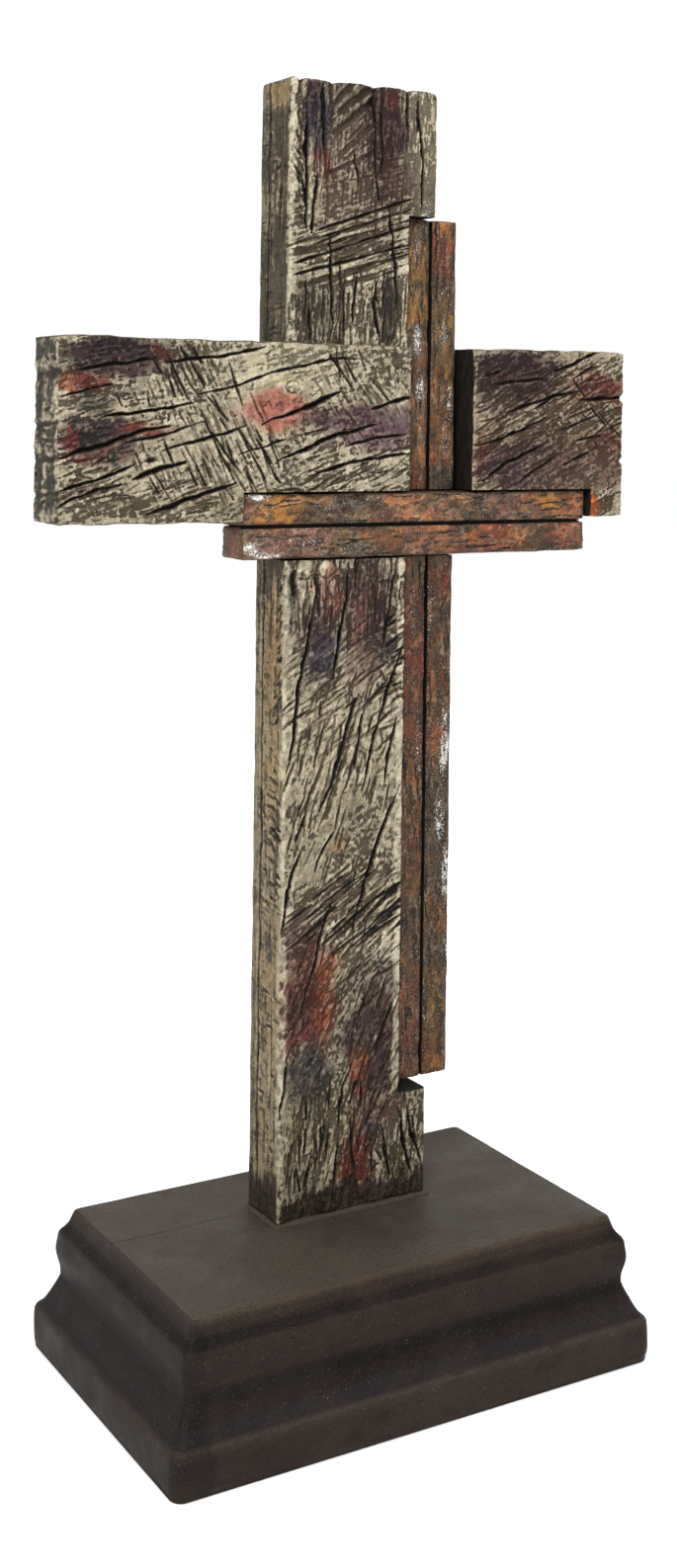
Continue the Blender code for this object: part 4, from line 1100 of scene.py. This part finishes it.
def beam_end(seed):
    """An end of the crossbeam: olive-grey lumps, to which left_end and right_end add the deepest splits
    running out as dark notches.
    """
    end = Relief((BEAM_FRONT, BEAM_UNDERSIDE), (BEAM_BACK, BEAM_TOP), 0.36)
    y, z = end.u, end.v
    lump = cloud(y / 3.2, z / 4.5, seed, 4)
    end.height += -0.14 + 0.26 * lump + 0.12 * streaks(y, z, 0, 8, 0.9, seed + 1)
    end.paint = blend(end.paint + srgb(124, 116, 94), srgb(92, 86, 68), smooth(0.3, -0.5, lump))
    near_front = smooth(3.4, 0.0, y - BEAM_FRONT)
    end.paint = blend(end.paint, CREAM, smooth(0.1, 0.8, lump + 0.9 * near_front) * 0.9)
    damp = smooth(-0.4, 0.4, cloud(y / 3, z / 3, seed + 2, 3))
    end.under = blend(end.under + srgb(66, 61, 48), srgb(44, 40, 32), damp)
    end.wear = 0.16 - 0.70 * lump - 0.50 * near_front + 0.45 * streaks(y, z, 0, 3.0, 0.8, seed + 3, 2)
    return end


def left_end():
    end = beam_end(101)
    for z, width, depth in ((273.5, 3.4, 0.8), (260.0, 1.7, 0.6), (250.5, 1.6, 0.6), (241.0, 1.2, 0.4)):
        end.groove([(BEAM_FRONT - 1, z), (BEAM_BACK + 1, z - 1.5)], width, depth, 0.62, taper=0.01)
    for z, reach in ((279.0, 2.2), (267.0, 3.0), (255.2, 2.4), (245.8, 2.2), (236.8, 2.2)):
        end.knob((BEAM_FRONT + 1.0, z), (1.8, reach), 0.2, 0.4)
    end.hatch((6, 258), (9, 24), 5, 50, (2, 7), 0.8, 0.35, 0.8, 12)
    end.finish_paint(104, 0.4, 0.5)
    end.height = np.clip(end.height, -1.3, 0.0)
    return end


def right_end():
    end = beam_end(111)
    for z, width, depth in ((269.0, 2.6, 1.3), (249.6, 3.0, 2.0)):
        end.groove([(BEAM_FRONT - 1, z), (BEAM_BACK + 1, z + 0.6)], width, depth, 0.5, taper=0.01)
    end.hatch((6, 258), (9, 24), 5, 40, (2, 7), 0.7, 0.3, 0.6, 12)
    end.finish_paint(114, 0.4, 0.4)
    end.height = np.clip(end.height, -2.6, 0.0)
    return end


def plain_coat(upright):
    """Coat of the faces that the photograph doesn't show: the same cream and wash, worn more evenly."""
    def coat(u, v):
        tone = smooth(-0.6, 0.7, cloud(u / 14, v / 14, 131, 3))
        paint = blend(np.zeros((len(u), 3)) + srgb(166, 156, 128), srgb(132, 122, 94), tone)
        along, across = (88, 1.6) if upright else (2, 1.6)
        wear = 0.45 * streaks(u, v, along, 16.0, across, 133, 3) + 0.35 * cloud(u / 12, v / 12, 135, 3) - 0.02
        under = np.zeros((len(u), 3)) + srgb(74, 68, 54)
        return even_coat(paint, under, wear, plain_grain=1.0)
    return coat


TOP_CREASES = (0.0, 0.06, 0.28, 0.56, 0.79, 1.0)


def lobes(sign, a):
    """Depth of the creases in the upright's top; its foot is flat."""
    if sign > 0:
        return a * 0
    across = np.clip((a + POST_HALF) / (2 * POST_HALF), 0, 1)
    depth = np.zeros_like(a)
    for left, right in zip(TOP_CREASES, TOP_CREASES[1:]):
        inside = (across >= left) & (across <= right)
        share = np.clip((across - left) / (right - left), 0, 1)
        depth = np.where(inside, 1.1 * (1 - np.sin(math.pi * share) ** 0.5), depth)
    return depth


def beam_edges(sign, x):
    """The crossbeam's wavy long edges, a little further apart at its right end."""
    wavy = 0.12 + 0.30 * cloud(x / 9 + 5 * sign, x * 0 + sign, 141, 3)
    return np.clip(wavy, 0, None) + 0.35 * smooth(CROSS_HIGH[0], 0, x)


def make_cutters(dark):
    """Housings for the bars, as the solids have them."""
    channel = box_cutter("cut_channel", (INNER_LOW[0] - 0.15, -20, CHANNEL_FOOT),
                         (OUTER_HIGH[0] + 3.0, HOUSING_BACK, INNER_HIGH[2] + 0.3), dark)
    housing = box_cutter("cut_housing", (UPPER_LOW[0] - 0.15, -20, LOWER_LOW[2] - 0.4),
                         (UPPER_HIGH[0] + 1.6, HOUSING_BACK, UPPER_HIGH[2] + 0.25), dark)
    return channel, housing


def make_cross(upright_wood, beam_wood, dark):
    front, beam = upright_front(), beam_front()
    left, right = upright_side(121, True), upright_side(126, False)
    channel, housing = make_cutters(dark)
    pieces = []
    hidden = (BEAM_UNDERSIDE + 3, BEAM_TOP - 4)
    specs = (
        ("carved_upright_foot", POST_FOOT, POST_SEAM, None, None, (channel,), (False, True)),
        ("carved_upright_lower", POST_SEAM, BEAM_TOP - 2.0, hidden, None, (channel, housing), (True, True)),
        ("carved_upright_upper", BEAM_TOP - 2.0, POST_TOP, None, lobes, (channel,), (True, False)),
    )
    for name, foot, top, skip, cap, cutters, seams in specs:
        board = Board(name, (-POST_HALF, POST_FRONT, foot), (POST_HALF, POST_BACK, top), True, front,
                      sides=(left, right), plain=plain_coat(True), skip=skip, seed=150, cap_shift=cap,
                      seams=seams)
        pieces.append((board, cutters))
    half = CROSS_HIGH[0]
    specs = (
        ("carved_crossbeam_left", -half, BEAM_SEAM, (left_end(), None), (False, True)),
        ("carved_crossbeam_right", BEAM_SEAM, half, (None, right_end()), (True, False)),
    )
    for name, start, stop, ends, seams in specs:
        board = Board(name, (start, BEAM_FRONT, BEAM_UNDERSIDE), (stop, BEAM_BACK, BEAM_TOP), False, beam,
                      ends=ends, plain=plain_coat(False), seed=160, side_shift=beam_edges, arris=1.8,
                      seams=seams)
        pieces.append((board, (channel, housing)))
    for board, cutters in pieces:
        board.object.data.materials.append(upright_wood if board.upright else beam_wood)
        board.cut(*cutters)
        dress(board.object, "cross_body")
    for cutter in (channel, housing):
        bpy.data.objects.remove(cutter)


# Bars

RUST = srgb(150, 78, 46)
COPPER = srgb(156, 106, 72)
OCHRE = srgb(178, 126, 54)
GREY_OLIVE = srgb(98, 90, 72)
RED_BROWN = srgb(116, 50, 38)
MAUVE = srgb(150, 112, 102)
STEEL = srgb(80, 78, 78)
GOLD_OLIVE = srgb(146, 122, 74)
PALE = srgb(176, 160, 142)
# Zones of colour along each bar: place, reach, colour and strength.
BAR_ZONES = {
    "upper": [
        (-36, 4, GREY_OLIVE, 0.8), (-28, 7, OCHRE, 0.85), (-17, 4, GOLD_OLIVE, 0.6),
        (-6, 9, GREY_OLIVE, 0.9), (10, 7, COPPER * 1.15, 0.8), (30, 10, GREY_OLIVE, 0.5),
        (48, 6, MAUVE, 0.5), (64, 6, OCHRE * 1.1, 0.9),
    ],
    "lower": [
        (-36, 5, PALE, 0.5), (-22, 12, MAUVE, 0.7), (-6, 8, GREY_OLIVE, 0.7), (8, 5, COPPER, 0.6),
        (24, 10, COPPER * 1.1, 0.8), (46, 12, RUST, 0.7), (60, 5, GREY_OLIVE, 0.6),
        (70, 5, RUST * 1.2, 0.8),
    ],
    "inner": [
        (316, 7, GREY_OLIVE * 0.9, 0.8), (300, 14, GOLD_OLIVE * 0.8, 0.7), (282, 8, GREY_OLIVE, 0.6),
        (268, 8, MAUVE, 0.6), (252, 9, COPPER * 0.8, 0.7), (243, 4, RED_BROWN * 1.1, 0.8),
        (218, 6, GREY_OLIVE * 0.8, 0.9), (198, 14, RED_BROWN * 1.25, 0.85), (172, 14, RUST * 0.85, 0.7),
        (150, 10, COPPER * 0.7, 0.7), (120, 18, GREY_OLIVE * 0.8, 0.6), (88, 20, RUST * 0.45, 0.7),
    ],
    "outer": [
        (318, 4, OCHRE * 0.9, 0.7), (309, 8, RED_BROWN * 1.3, 0.75), (293, 9, GOLD_OLIVE, 0.7),
        (280, 6, GREY_OLIVE, 0.7), (264, 9, COPPER * 0.9, 0.6), (244, 7, STEEL, 0.9),
        (222, 4, STEEL, 0.7), (214, 6, RED_BROWN * 1.1, 0.95), (192, 16, COPPER * 0.85, 0.8),
        (140, 24, STEEL, 0.9), (117, 4, OCHRE * 0.8, 0.7), (107, 5, STEEL, 0.8),
        (91, 10, GOLD_OLIVE * 0.9, 0.8), (75, 5, OCHRE * 0.9, 0.6),
    ],
}
# Painted highlights on each bar, which also make the metal there more metallic: place, reach, side from -1 to
# 1 and strength.
BAR_GLINTS = {
    "upper": [
        (-33, 6, 0.9, 0.92), (-10, 10, 0.2, 0.42), (4, 6, 0.6, 0.35), (36, 14, 0.7, 0.38),
    ],
    "lower": [
        (-36, 4, -0.3, 0.90), (-30, 7, -0.9, 0.90), (-20, 14, 0.0, 0.45), (-2, 12, -0.5, 0.45),
        (30, 20, 0.1, 0.28),
    ],
    "inner": [
        (312, 8, -0.2, 0.50), (284, 7, 0.0, 0.75), (270, 6, 0.3, 0.70), (258, 6, 0.5, 0.45),
        (205, 14, 0.0, 0.34), (168, 16, 0.6, 0.42),
    ],
    "outer": [
        (286, 8, 0.0, 0.5), (266, 8, 0.6, 0.8), (256, 8, 0.2, 0.6), (246, 8, 0.4, 0.35),
        (206, 16, -0.8, 0.4), (168, 16, 0.5, 0.80), (146, 12, 0.2, 0.62), (130, 12, 0.7, 0.70),
        (108, 6, 0.8, 0.45), (92, 12, -0.9, 0.35),
    ],
}
# Broad tints: colour, the noise where it begins and is full, its length and width, seed, octaves, strength.
PATINA_TINTS = (
    (RUST, 0.0, 0.5, 8, 4, 2, 5, 0.75),
    (OCHRE, 0.25, 0.65, 6, 4, 4, 5, 0.55),
    (MAUVE, 0.2, 0.7, 8, 4, 6, 4, 0.55),
)
# Patches: size, colour, the noise where they begin, and strength.
PATINA_PATCHES = (
    (2.0, OCHRE * 0.9, 0.30, 0.45), (1.6, PALE * 0.8, 0.35, 0.40), (1.8, RED_BROWN * 0.9, 0.22, 0.45),
    (1.5, STEEL * 0.45, 0.12, 0.70), (0.8, STEEL * 0.3, 0.20, 0.55), (0.7, OCHRE * 1.15, 0.35, 0.40),
)
# Round each bar: clearance past its crossing, its seam's rabbet, and how deep both go behind the front.
LAP_CLEARANCE = 0.4
LAP_DEPTH = 6.5
RABBET = 0.35
RABBET_DEPTH = 2.4
SPARE = 9


def patina(relief, upright, seed, zones, glints):
    """Flaked rust, ochre, red-brown, olive and steel on a bar's front, in zones along its run."""
    run, side = (relief.v, relief.u) if upright else (relief.u, relief.v)
    middle, half = (side.max() + side.min()) / 2, (side.max() - side.min()) / 2
    clouds = cloud(run / 9, side / 5, seed, 5)
    paint = blend(relief.paint + COPPER * 0.85, GREY_OLIVE, smooth(-0.2, 0.4, clouds) * 0.8)
    for colour, low, high, length, width, step, octaves, strength in PATINA_TINTS:
        tint = smooth(low, high, cloud(run / length, side / width, seed + step, octaves))
        paint = blend(paint, colour, tint * strength)
    for place, reach, colour, strength in zones:
        away = np.abs(run - place + 3.4 * cloud(run / 5, side / 3.5, seed + 11, 5)) / reach
        paint = blend(paint, colour, smooth(1.3, 0.4, away) * strength)
    for spread, colour, low, strength in PATINA_PATCHES:
        patches = cloud(run / (2.0 * spread), side / spread, seed + int(40 * spread), 5)
        paint = blend(paint, colour, smooth(low, low + 0.3, patches) * strength)
    paint = paint * (1 + 0.62 * cloud(run / 5.0, side / 2.6, seed + 31, 5))[..., None]
    paint = paint * (1 + 0.40 * cloud(run / 16.0, side / 9.0, seed + 33, 3))[..., None]
    rim = smooth(0.62, 1.0, np.abs(side - middle) / half + 0.16 * cloud(run / 4, side / 2, seed + 12, 3))
    paint = paint * (1 - 0.42 * rim)[..., None]
    if upright:
        darker = smooth(240, 205, run)
        paint = paint * np.stack([0.74 - 0.18 * darker, 0.76 - 0.24 * darker, 0.62 - 0.24 * darker], -1)
    else:
        paint = paint * 0.88
    relief.paint = paint
    relief.under = paint * 0.42
    relief.height += -0.16 + 0.12 * cloud(run / 6, side / 3, seed + 8, 4)
    flake = cloud(run / 8.0, side / 3.8, seed + 9, 4) - 0.20
    relief.height -= 0.24 * smooth(-0.03, 0.05, flake)
    relief.paint = blend(relief.paint, relief.paint * 0.66, smooth(0.0, 0.1, flake) * 0.8)
    # A pale line beside each flake's step: painted highlight on its edge.
    relief.paint = blend(relief.paint, PALE, np.clip(1 - np.abs(flake + 0.07) / 0.035, 0, 1) * 0.45)
    relief.split = np.maximum(relief.split, 1.0 - np.abs(flake) / 0.040) * 0.95
    relief.split = np.clip(relief.split * smooth(-0.1, 0.5, cloud(run / 9, side / 6, seed + 14, 2)), 0, 1)
    relief.wear = 0.62 * cloud(run / 1.5, side / 1.1, seed + 15, 4) + 0.3 * clouds - 0.34
    relief.shine = 0.25 * smooth(-0.2, 0.7, cloud(run / 10, side / 6, seed + 10, 3))
    # Painted highlights on the bar, also more metallic there.
    for place, reach, lean, strength in glints:
        away = np.hypot((run - place) / reach, ((side - middle) / half - lean) / 0.55)
        patchy = 0.82 + 0.45 * cloud(run / 2.4, side / 0.8, seed + 17, 4)
        relief.shine = np.maximum(relief.shine, strength * smooth(1.2, 0.3, away) * patchy)
    relief.stained += 0.9
    for _ in range(int((run.max() - run.min()) / 5)):
        place = SEED.uniform(run.min(), run.max())
        across = SEED.uniform(side.min(), side.max())
        ends = [(place, across), (place + SEED.uniform(3, 14), across + SEED.uniform(-0.9, 0.9))]
        if upright:
            ends = [(v0, u0) for u0, v0 in ends]
        relief.groove(ends, 0.6, 0.25, 0.7, wander=0.8)
    relief.finish_paint(seed + 20, 0.25, 0.4)
    return relief


def bar_coat(seed):
    def coat(u, v):
        tone = np.zeros((len(u), 3)) + srgb(104, 78, 56)
        tone = blend(tone, GREY_OLIVE * 0.7, smooth(-0.2, 0.5, cloud(u / 6, v / 6, seed, 3)))
        tone = blend(tone, RUST * 0.8, smooth(0.0, 0.6, cloud(u / 5, v / 9, seed + 3, 3)) * 0.8)
        return even_coat(tone, wear=0.5 * cloud(u / 2.4, v / 2.4, seed + 5, 3) - 0.2, shine=0.1)
    return coat


def make_bars(metal, dark):
    """Four bars with laps and a rabbet along each pair's seam, as the solids have them."""
    seam_z = (UPPER_LOW[2] + LOWER_HIGH[2]) / 2
    seam_x = (INNER_HIGH[0] + OUTER_LOW[0]) / 2
    lap_back = UPPER_LOW[1] + LAP_DEPTH
    rabbet = {"upper": UPPER_LOW[2] + RABBET, "lower": LOWER_HIGH[2] - RABBET,
              "inner": INNER_HIGH[0] - RABBET, "outer": OUTER_LOW[0] + RABBET}
    UPPER_LOW[2] = LOWER_HIGH[2] = seam_z
    INNER_HIGH[0] = OUTER_LOW[0] = seam_x
    lap_left, lap_right = INNER_LOW[0] - LAP_CLEARANCE, OUTER_HIGH[0] + LAP_CLEARANCE
    lap_foot, lap_top = LOWER_LOW[2] - LAP_CLEARANCE, UPPER_HIGH[2] + LAP_CLEARANCE
    lap_front = lap_back + LAP_CLEARANCE
    specs = (
        ("metal_bar_crosswise_upper", "crosswise_bar_upper", UPPER_LOW, UPPER_HIGH, False, "upper", 201,
         (((-200, UPPER_LOW[1] - SPARE, seam_z - SPARE), (200, UPPER_LOW[1] + RABBET_DEPTH, rabbet["upper"])),
          ((lap_left, lap_back, seam_z - SPARE), (lap_right, 40, UPPER_HIGH[2] + SPARE)))),
        ("metal_bar_crosswise_lower", "crosswise_bar_lower", LOWER_LOW, LOWER_HIGH, False, "lower", 231,
         (((-200, LOWER_LOW[1] - SPARE, rabbet["lower"]), (200, LOWER_LOW[1] + RABBET_DEPTH, seam_z + SPARE)),
          ((lap_left, lap_back, LOWER_LOW[2] - SPARE), (lap_right, 40, seam_z + SPARE)))),
        ("metal_bar_upright_inner", "upright_bar_inner", INNER_LOW, INNER_HIGH, True, "inner", 261,
         (((rabbet["inner"], INNER_LOW[1] - SPARE, 0), (seam_x + SPARE, INNER_LOW[1] + RABBET_DEPTH, 400)),
          ((INNER_LOW[0] - SPARE, INNER_LOW[1] - SPARE, lap_foot), (seam_x + SPARE, lap_front, lap_top)))),
        ("metal_bar_upright_outer", "upright_bar_outer", OUTER_LOW, OUTER_HIGH, True, "outer", 291,
         (((seam_x - SPARE, OUTER_LOW[1] - SPARE, 0), (rabbet["outer"], OUTER_LOW[1] + RABBET_DEPTH, 400)),
          ((seam_x - SPARE, OUTER_LOW[1] - SPARE, lap_foot), (OUTER_HIGH[0] + SPARE, lap_front, lap_top)))),
    )
    for name, node, low, high, upright, part, seed, cuts in specs:
        face = Relief((low[0], low[2]), (high[0], high[2]), 0.4)
        patina(face, upright, seed, BAR_ZONES[part], BAR_GLINTS[part])
        board = Board(name, low, high, upright, face, plain=bar_coat(seed), arris=2.2, side_pitch=0.8,
                      back_pitch=1.6, seed=seed, snug=-1 if part in ("upper", "outer") else 1)
        board.object.data.materials.append(metal)
        cutters = [box_cutter(name + str(i), *corners, dark) for i, corners in enumerate(cuts)]
        board.cut(*cutters)
        for cutter in cutters:
            bpy.data.objects.remove(cutter)
        dress(board.object, node)


# Base

BASE_TOP = 39.0
BASE_HALF_WIDTH, BASE_HALF_DEPTH = 65.0, 38.25
BASE_CENTRE_X = (BASE_LOW[0] + BASE_HIGH[0]) / 2
BASE_CORNER = 1.2
CORNER_STEPS = 6
# Painted light in bands round the moulding: the dark bands are painted shade, the pale ones painted
# highlights and the bluish one a painted reflection. Each has a colour, heights where it starts, is full,
# fades and ends, and strength.
BASE_PAINTED_LIGHT_BANDS = (
    ((34, 26, 26), 10.0, 13.0, 20.0, 26.0, 0.85), ((52, 46, 50), 11.5, 13.0, 14.5, 17.0, 0.6),
    ((58, 50, 44), 26.5, 29.0, 32.0, 33.4, 0.5), ((26, 20, 18), 32.4, 33.2, 34.8, 35.8, 0.8),
    ((86, 76, 68), 10.2, 11.0, 11.6, 12.4, 0.6), ((22, 17, 16), 17.5, 20.5, 21.6, 23.4, 0.75),
    ((40, 34, 32), 24.0, 26.0, 31.0, 33.0, 0.4),
)


def base_profile():
    """Reach beyond the top's edge and height of the moulding, from its foot to the edge of its top."""
    plinth_edge, plinth = 8.1, 8.8
    points = [(8.2, 0.0), (8.3, 0.5), (8.4, 0.9), (8.55, 1.4), (plinth - 0.1, 2.2), (plinth, 3.5)]
    points += [(plinth, 7.0), (plinth - 0.05, 9.0), (plinth - 0.2, 10.6), (plinth - 0.45, 11.2)]
    points += [(plinth_edge, 11.5)]
    for i in range(1, 13):
        share = i / 12
        points.append((plinth_edge + (3.0 - plinth_edge) * share ** 0.7, 11.5 + 9.0 * share))
    points += [(2.98, 21.5), (3.02, 22.4), (3.15, 23.3), (3.4, 24.3), (3.72, 25.4), (3.98, 26.5), (4.1, 27.6)]
    points += [(4.08, 28.6), (3.95, 29.6), (3.8, 30.6), (3.65, 31.6), (3.45, 32.4), (3.1, 33.0), (2.6, 33.5)]
    points += [(2.1, 34.0), (1.7, 34.6), (1.2, 35.3), (0.9, 36.2), (0.6, 37.1), (0.3, 38.0), (0.0, 38.6)]
    points += [(-0.35, 38.9), (-0.8, 39.0)]
    return points


def base_ring(reach, radius, counts):
    """Points round a rectangle with rounded corners; the counts are for its long and short sides."""
    half_width, half_depth = BASE_HALF_WIDTH + reach, BASE_HALF_DEPTH + reach
    radius = min(radius, half_width * 0.9, half_depth * 0.9)
    corners = []
    for number, (sx, sy) in enumerate(((1, 1), (-1, 1), (-1, -1), (1, -1))):
        for i in range(CORNER_STEPS + 1):
            turn = math.radians(90 * number + 90 / CORNER_STEPS * i)
            corners.append((BASE_CENTRE_X + sx * (half_width - radius) + radius * math.cos(turn),
                            sy * (half_depth - radius) + radius * math.sin(turn)))
    corners = np.array(corners)
    ring = []
    for i, start in enumerate(corners):
        end = corners[(i + 1) % len(corners)]
        side, step = divmod(i, CORNER_STEPS + 1)
        steps = counts[side % 2] if step == CORNER_STEPS else 1
        for k in range(steps):
            ring.append(start + (end - start) * k / steps)
    return np.array(ring)


def make_base(satin):
    """The moulded base with its plank line and small knocks along the edges."""
    rings = [(reach, height, BASE_CORNER + max(reach, 0) * 0.25) for reach, height in base_profile()]
    for inset in (1.6, 2.8, 4.4, 6.4, 8.8, 11.6, 14.8, 18.4, 22.4, 26.8, 31.6, 36.4, 38.0):
        rings.append((-inset, BASE_TOP, BASE_CORNER))
    places, levels = [], []
    for reach, height, radius in rings:
        for x, y in base_ring(reach, radius, (96, 56)):
            places.append((x, y, height))
            levels.append(reach)
    places = np.array(places)
    size = len(places) // len(rings)
    faces = ring_faces(len(rings), size)
    faces += [list(range(size))[::-1], list(range(len(places) - size, len(places)))]
    x, y, z = places.T
    around = np.where(np.abs(x) > 60, y * 1.3 + 200, x)
    knocks = cloud(around / 7, z / 5, 301, 4)
    sink = 0.10 + 0.12 * knocks + 0.10 * cloud(around / 26, z / 20, 303, 2)
    sink = np.clip(sink, 0, 0.6) * (z > 0.5)
    right = x - BASE_CENTRE_X
    outward = np.stack([np.sign(right) * (np.abs(right) > BASE_HALF_WIDTH - 2),
                        np.sign(y) * (np.abs(y) > BASE_HALF_DEPTH - 1.75)], 1)
    places[:, 0] -= outward[:, 0] * sink
    places[:, 1] -= outward[:, 1] * sink
    on_top = z > BASE_TOP - 0.05
    places[:, 2] -= on_top * np.clip(0.06 + 0.10 * cloud(x / 16, y / 16, 305, 3), 0, 0.3)
    body = mesh_object("moulded_base", places, faces)
    shade = smooth(-0.4, 0.6, cloud(around / 22, z / 14, 311, 3))
    paint = blend(np.zeros_like(places) + srgb(62, 52, 46), srgb(46, 38, 36), shade * 0.6)
    paint = blend(paint, srgb(60, 56, 42), smooth(0.1, 0.7, cloud(around / 12, z / 7, 315, 3)) * 0.35)
    paint = blend(paint, srgb(66, 46, 40), smooth(0.2, 0.7, cloud(around / 9, z / 5, 317, 3)) * 0.3)
    for colour, start, full, fade, end, strength in BASE_PAINTED_LIGHT_BANDS:
        paint = blend(paint, srgb(*colour), smooth(start, full, z) * smooth(end, fade, z) * strength)
    # Painted highlight: the strip under the top's edge and the top itself are paler, as if lit from above.
    paint = blend(paint, srgb(98, 88, 76), smooth(37.6, 38.4, z) * ~on_top * 0.5)
    paint = blend(paint, srgb(80, 74, 67), on_top * 0.85)
    paint = blend(paint, srgb(64, 58, 54), on_top * smooth(0.1, 0.6, cloud(x / 14, y / 12, 319, 3)) * 0.5)
    # Painted shade: the sides are darker than the top, the left end darker still.
    paint = paint * (1 - 0.26 * (outward[:, 0] < 0) * ~on_top - 0.22 * ~on_top)[:, None]
    streak = smooth(0.30, 0.62, cloud(around / 16, z / 1.4, 313, 4)) * (z < 12) * 0.6
    paint = blend(paint, srgb(34, 29, 26), streak)
    store_coat(body.data, even_coat(paint))
    body.data.materials.append(satin)
    dress(body, "base")


def make_paint_bead(satin):
    """The line of paint that fills the join between the upright and the base."""
    half_x, front, back = POST_HALF, POST_FRONT, POST_BACK
    section = [(0.9, -0.3), (0.9, 0.1), (0.55, 0.35), (0.15, 0.7), (-0.5, 0.9), (-0.6, -0.3)]
    ring = []
    corners = [(half_x, front), (half_x, back), (-half_x, back), (-half_x, front)]
    for i, (x0, y0) in enumerate(corners):
        x1, y1 = corners[(i + 1) % 4]
        steps = 60 if i % 2 else 22
        for k in range(steps):
            ring.append((x0 + (x1 - x0) * k / steps, y0 + (y1 - y0) * k / steps))
    places = []
    for index, (x, y) in enumerate(ring):
        swell = 1 + 0.35 * float(cloud(np.array([index / 6.0]), np.array([1.0]), 321, 3)[0])
        for out, up in section:
            reach = out * swell
            px = x + reach * np.sign(x) * (abs(abs(x) - half_x) < 0.01)
            py = y + reach * ((y > back - 0.01) * 1.0 - (y < front + 0.01) * 1.0)
            places.append((px, py, BASE_TOP + up * (swell if up > 0 else 1)))
    count, size = len(ring), len(section)
    faces = []
    for i in range(count):
        for k in range(size):
            a, b = i * size + k, i * size + (k + 1) % size
            c, d = ((i + 1) % count) * size + (k + 1) % size, ((i + 1) % count) * size + k
            faces.append([a, b, c, d])
    bead = mesh_object("paint_bead_at_foot", places, faces)
    store_coat(bead.data, even_coat(np.zeros((len(places), 3)) + srgb(78, 70, 62)))
    bead.data.materials.append(satin)
    for polygon in bead.data.polygons:
        polygon.use_smooth = True
    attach(bead, "root")


def dress(piece, node):
    """Shade a finished piece, put it on the body and let it stand for its CAD node."""
    mesh = piece.data
    mesh.shade_smooth()
    mesh.set_sharp_from_angle(angle=math.radians(50))
    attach(piece, "root")
    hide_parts(node)


# Camera, floor and light

PHOTO_HEIGHT = 1587
FOCAL_PIXELS = 1917.0
AXIS_FROM_TOP = 422.03
CAMERA_PLACE = (-276.31, -456.31, 262.04)
CAMERA_YAW = 30.52
CAMERA_ROLL = 0.73


def make_camera():
    """A level view camera with a downward shift, as the photograph's straight uprights show."""
    data = bpy.data.cameras.new("camera")
    data.sensor_fit = "VERTICAL"
    data.sensor_height = 36.0
    data.lens = FOCAL_PIXELS / PHOTO_HEIGHT * 36.0
    data.shift_y = (AXIS_FROM_TOP - PHOTO_HEIGHT / 2) / PHOTO_HEIGHT
    data.clip_start = 0.02
    camera = add_object("camera", data)
    yaw, roll = math.radians(CAMERA_YAW), math.radians(CAMERA_ROLL)
    forward = Vector((math.sin(yaw), math.cos(yaw), 0))
    level = Vector((math.cos(yaw), -math.sin(yaw), 0))
    right = level * math.cos(roll) + Vector((0, 0, math.sin(roll)))
    up = Vector((0, 0, math.cos(roll))) - level * math.sin(roll)
    turn = Matrix((right, up, -forward)).transposed().to_4x4()
    camera.matrix_world = Matrix.Translation(Vector(CAMERA_PLACE) * MM) @ turn
    bpy.context.scene.camera = camera


def area_light(name, place, target, size, power, colour=(1, 1, 1)):
    data = bpy.data.lights.new(name, "AREA")
    data.size = size
    data.energy = power
    data.color = colour
    light = add_object(name, data)
    light.location = place
    light.rotation_euler = (Vector(target) - Vector(place)).to_track_quat("-Z", "Y").to_euler()


def make_stage():
    bm = bmesh.new()
    bmesh.ops.create_grid(bm, x_segments=8, y_segments=8, size=6.0)
    mesh = bpy.data.meshes.new("floor")
    bm.to_mesh(mesh)
    bm.free()
    floor = add_object("floor", mesh)
    floor.location.z = -0.0002
    pale = Nodes("pale_floor")
    pale.shader.inputs["Base Color"].default_value = (0.97, 0.97, 0.97, 1)
    pale.shader.inputs["Roughness"].default_value = 0.9
    pale.shader.inputs["Specular IOR Level"].default_value = 0.1
    mesh.materials.append(pale.material)
    world = bpy.data.worlds.new("studio")
    world.use_nodes = True
    world.node_tree.nodes["Background"].inputs["Color"].default_value = (1, 1, 1, 1)
    world.node_tree.nodes["Background"].inputs["Strength"].default_value = 1.03
    bpy.context.scene.world = world
    middle = (0, 0, 0.2)
    area_light("key", (-0.72, -0.80, 1.10), middle, 0.30, 15)
    area_light("overhead", (0.35, 0.1, 1.5), middle, 0.6, 6)


bpy.context.scene.view_settings.view_transform = "Standard"
bpy.context.scene.view_settings.gamma = 0.8
make_camera()
make_stage()
UPRIGHT_WOOD = distressed_cream("distressed_cream_upright", (1.0, 1.0, 0.13))
BEAM_WOOD = distressed_cream("distressed_cream_beam", (0.13, 1.0, 1.0))
DARK, METAL, SATIN = housing_shadow(), metal_patina(), satin_brown()
make_cross(UPRIGHT_WOOD, BEAM_WOOD, DARK)
make_bars(METAL, DARK)
make_base(SATIN)
make_paint_bead(SATIN)
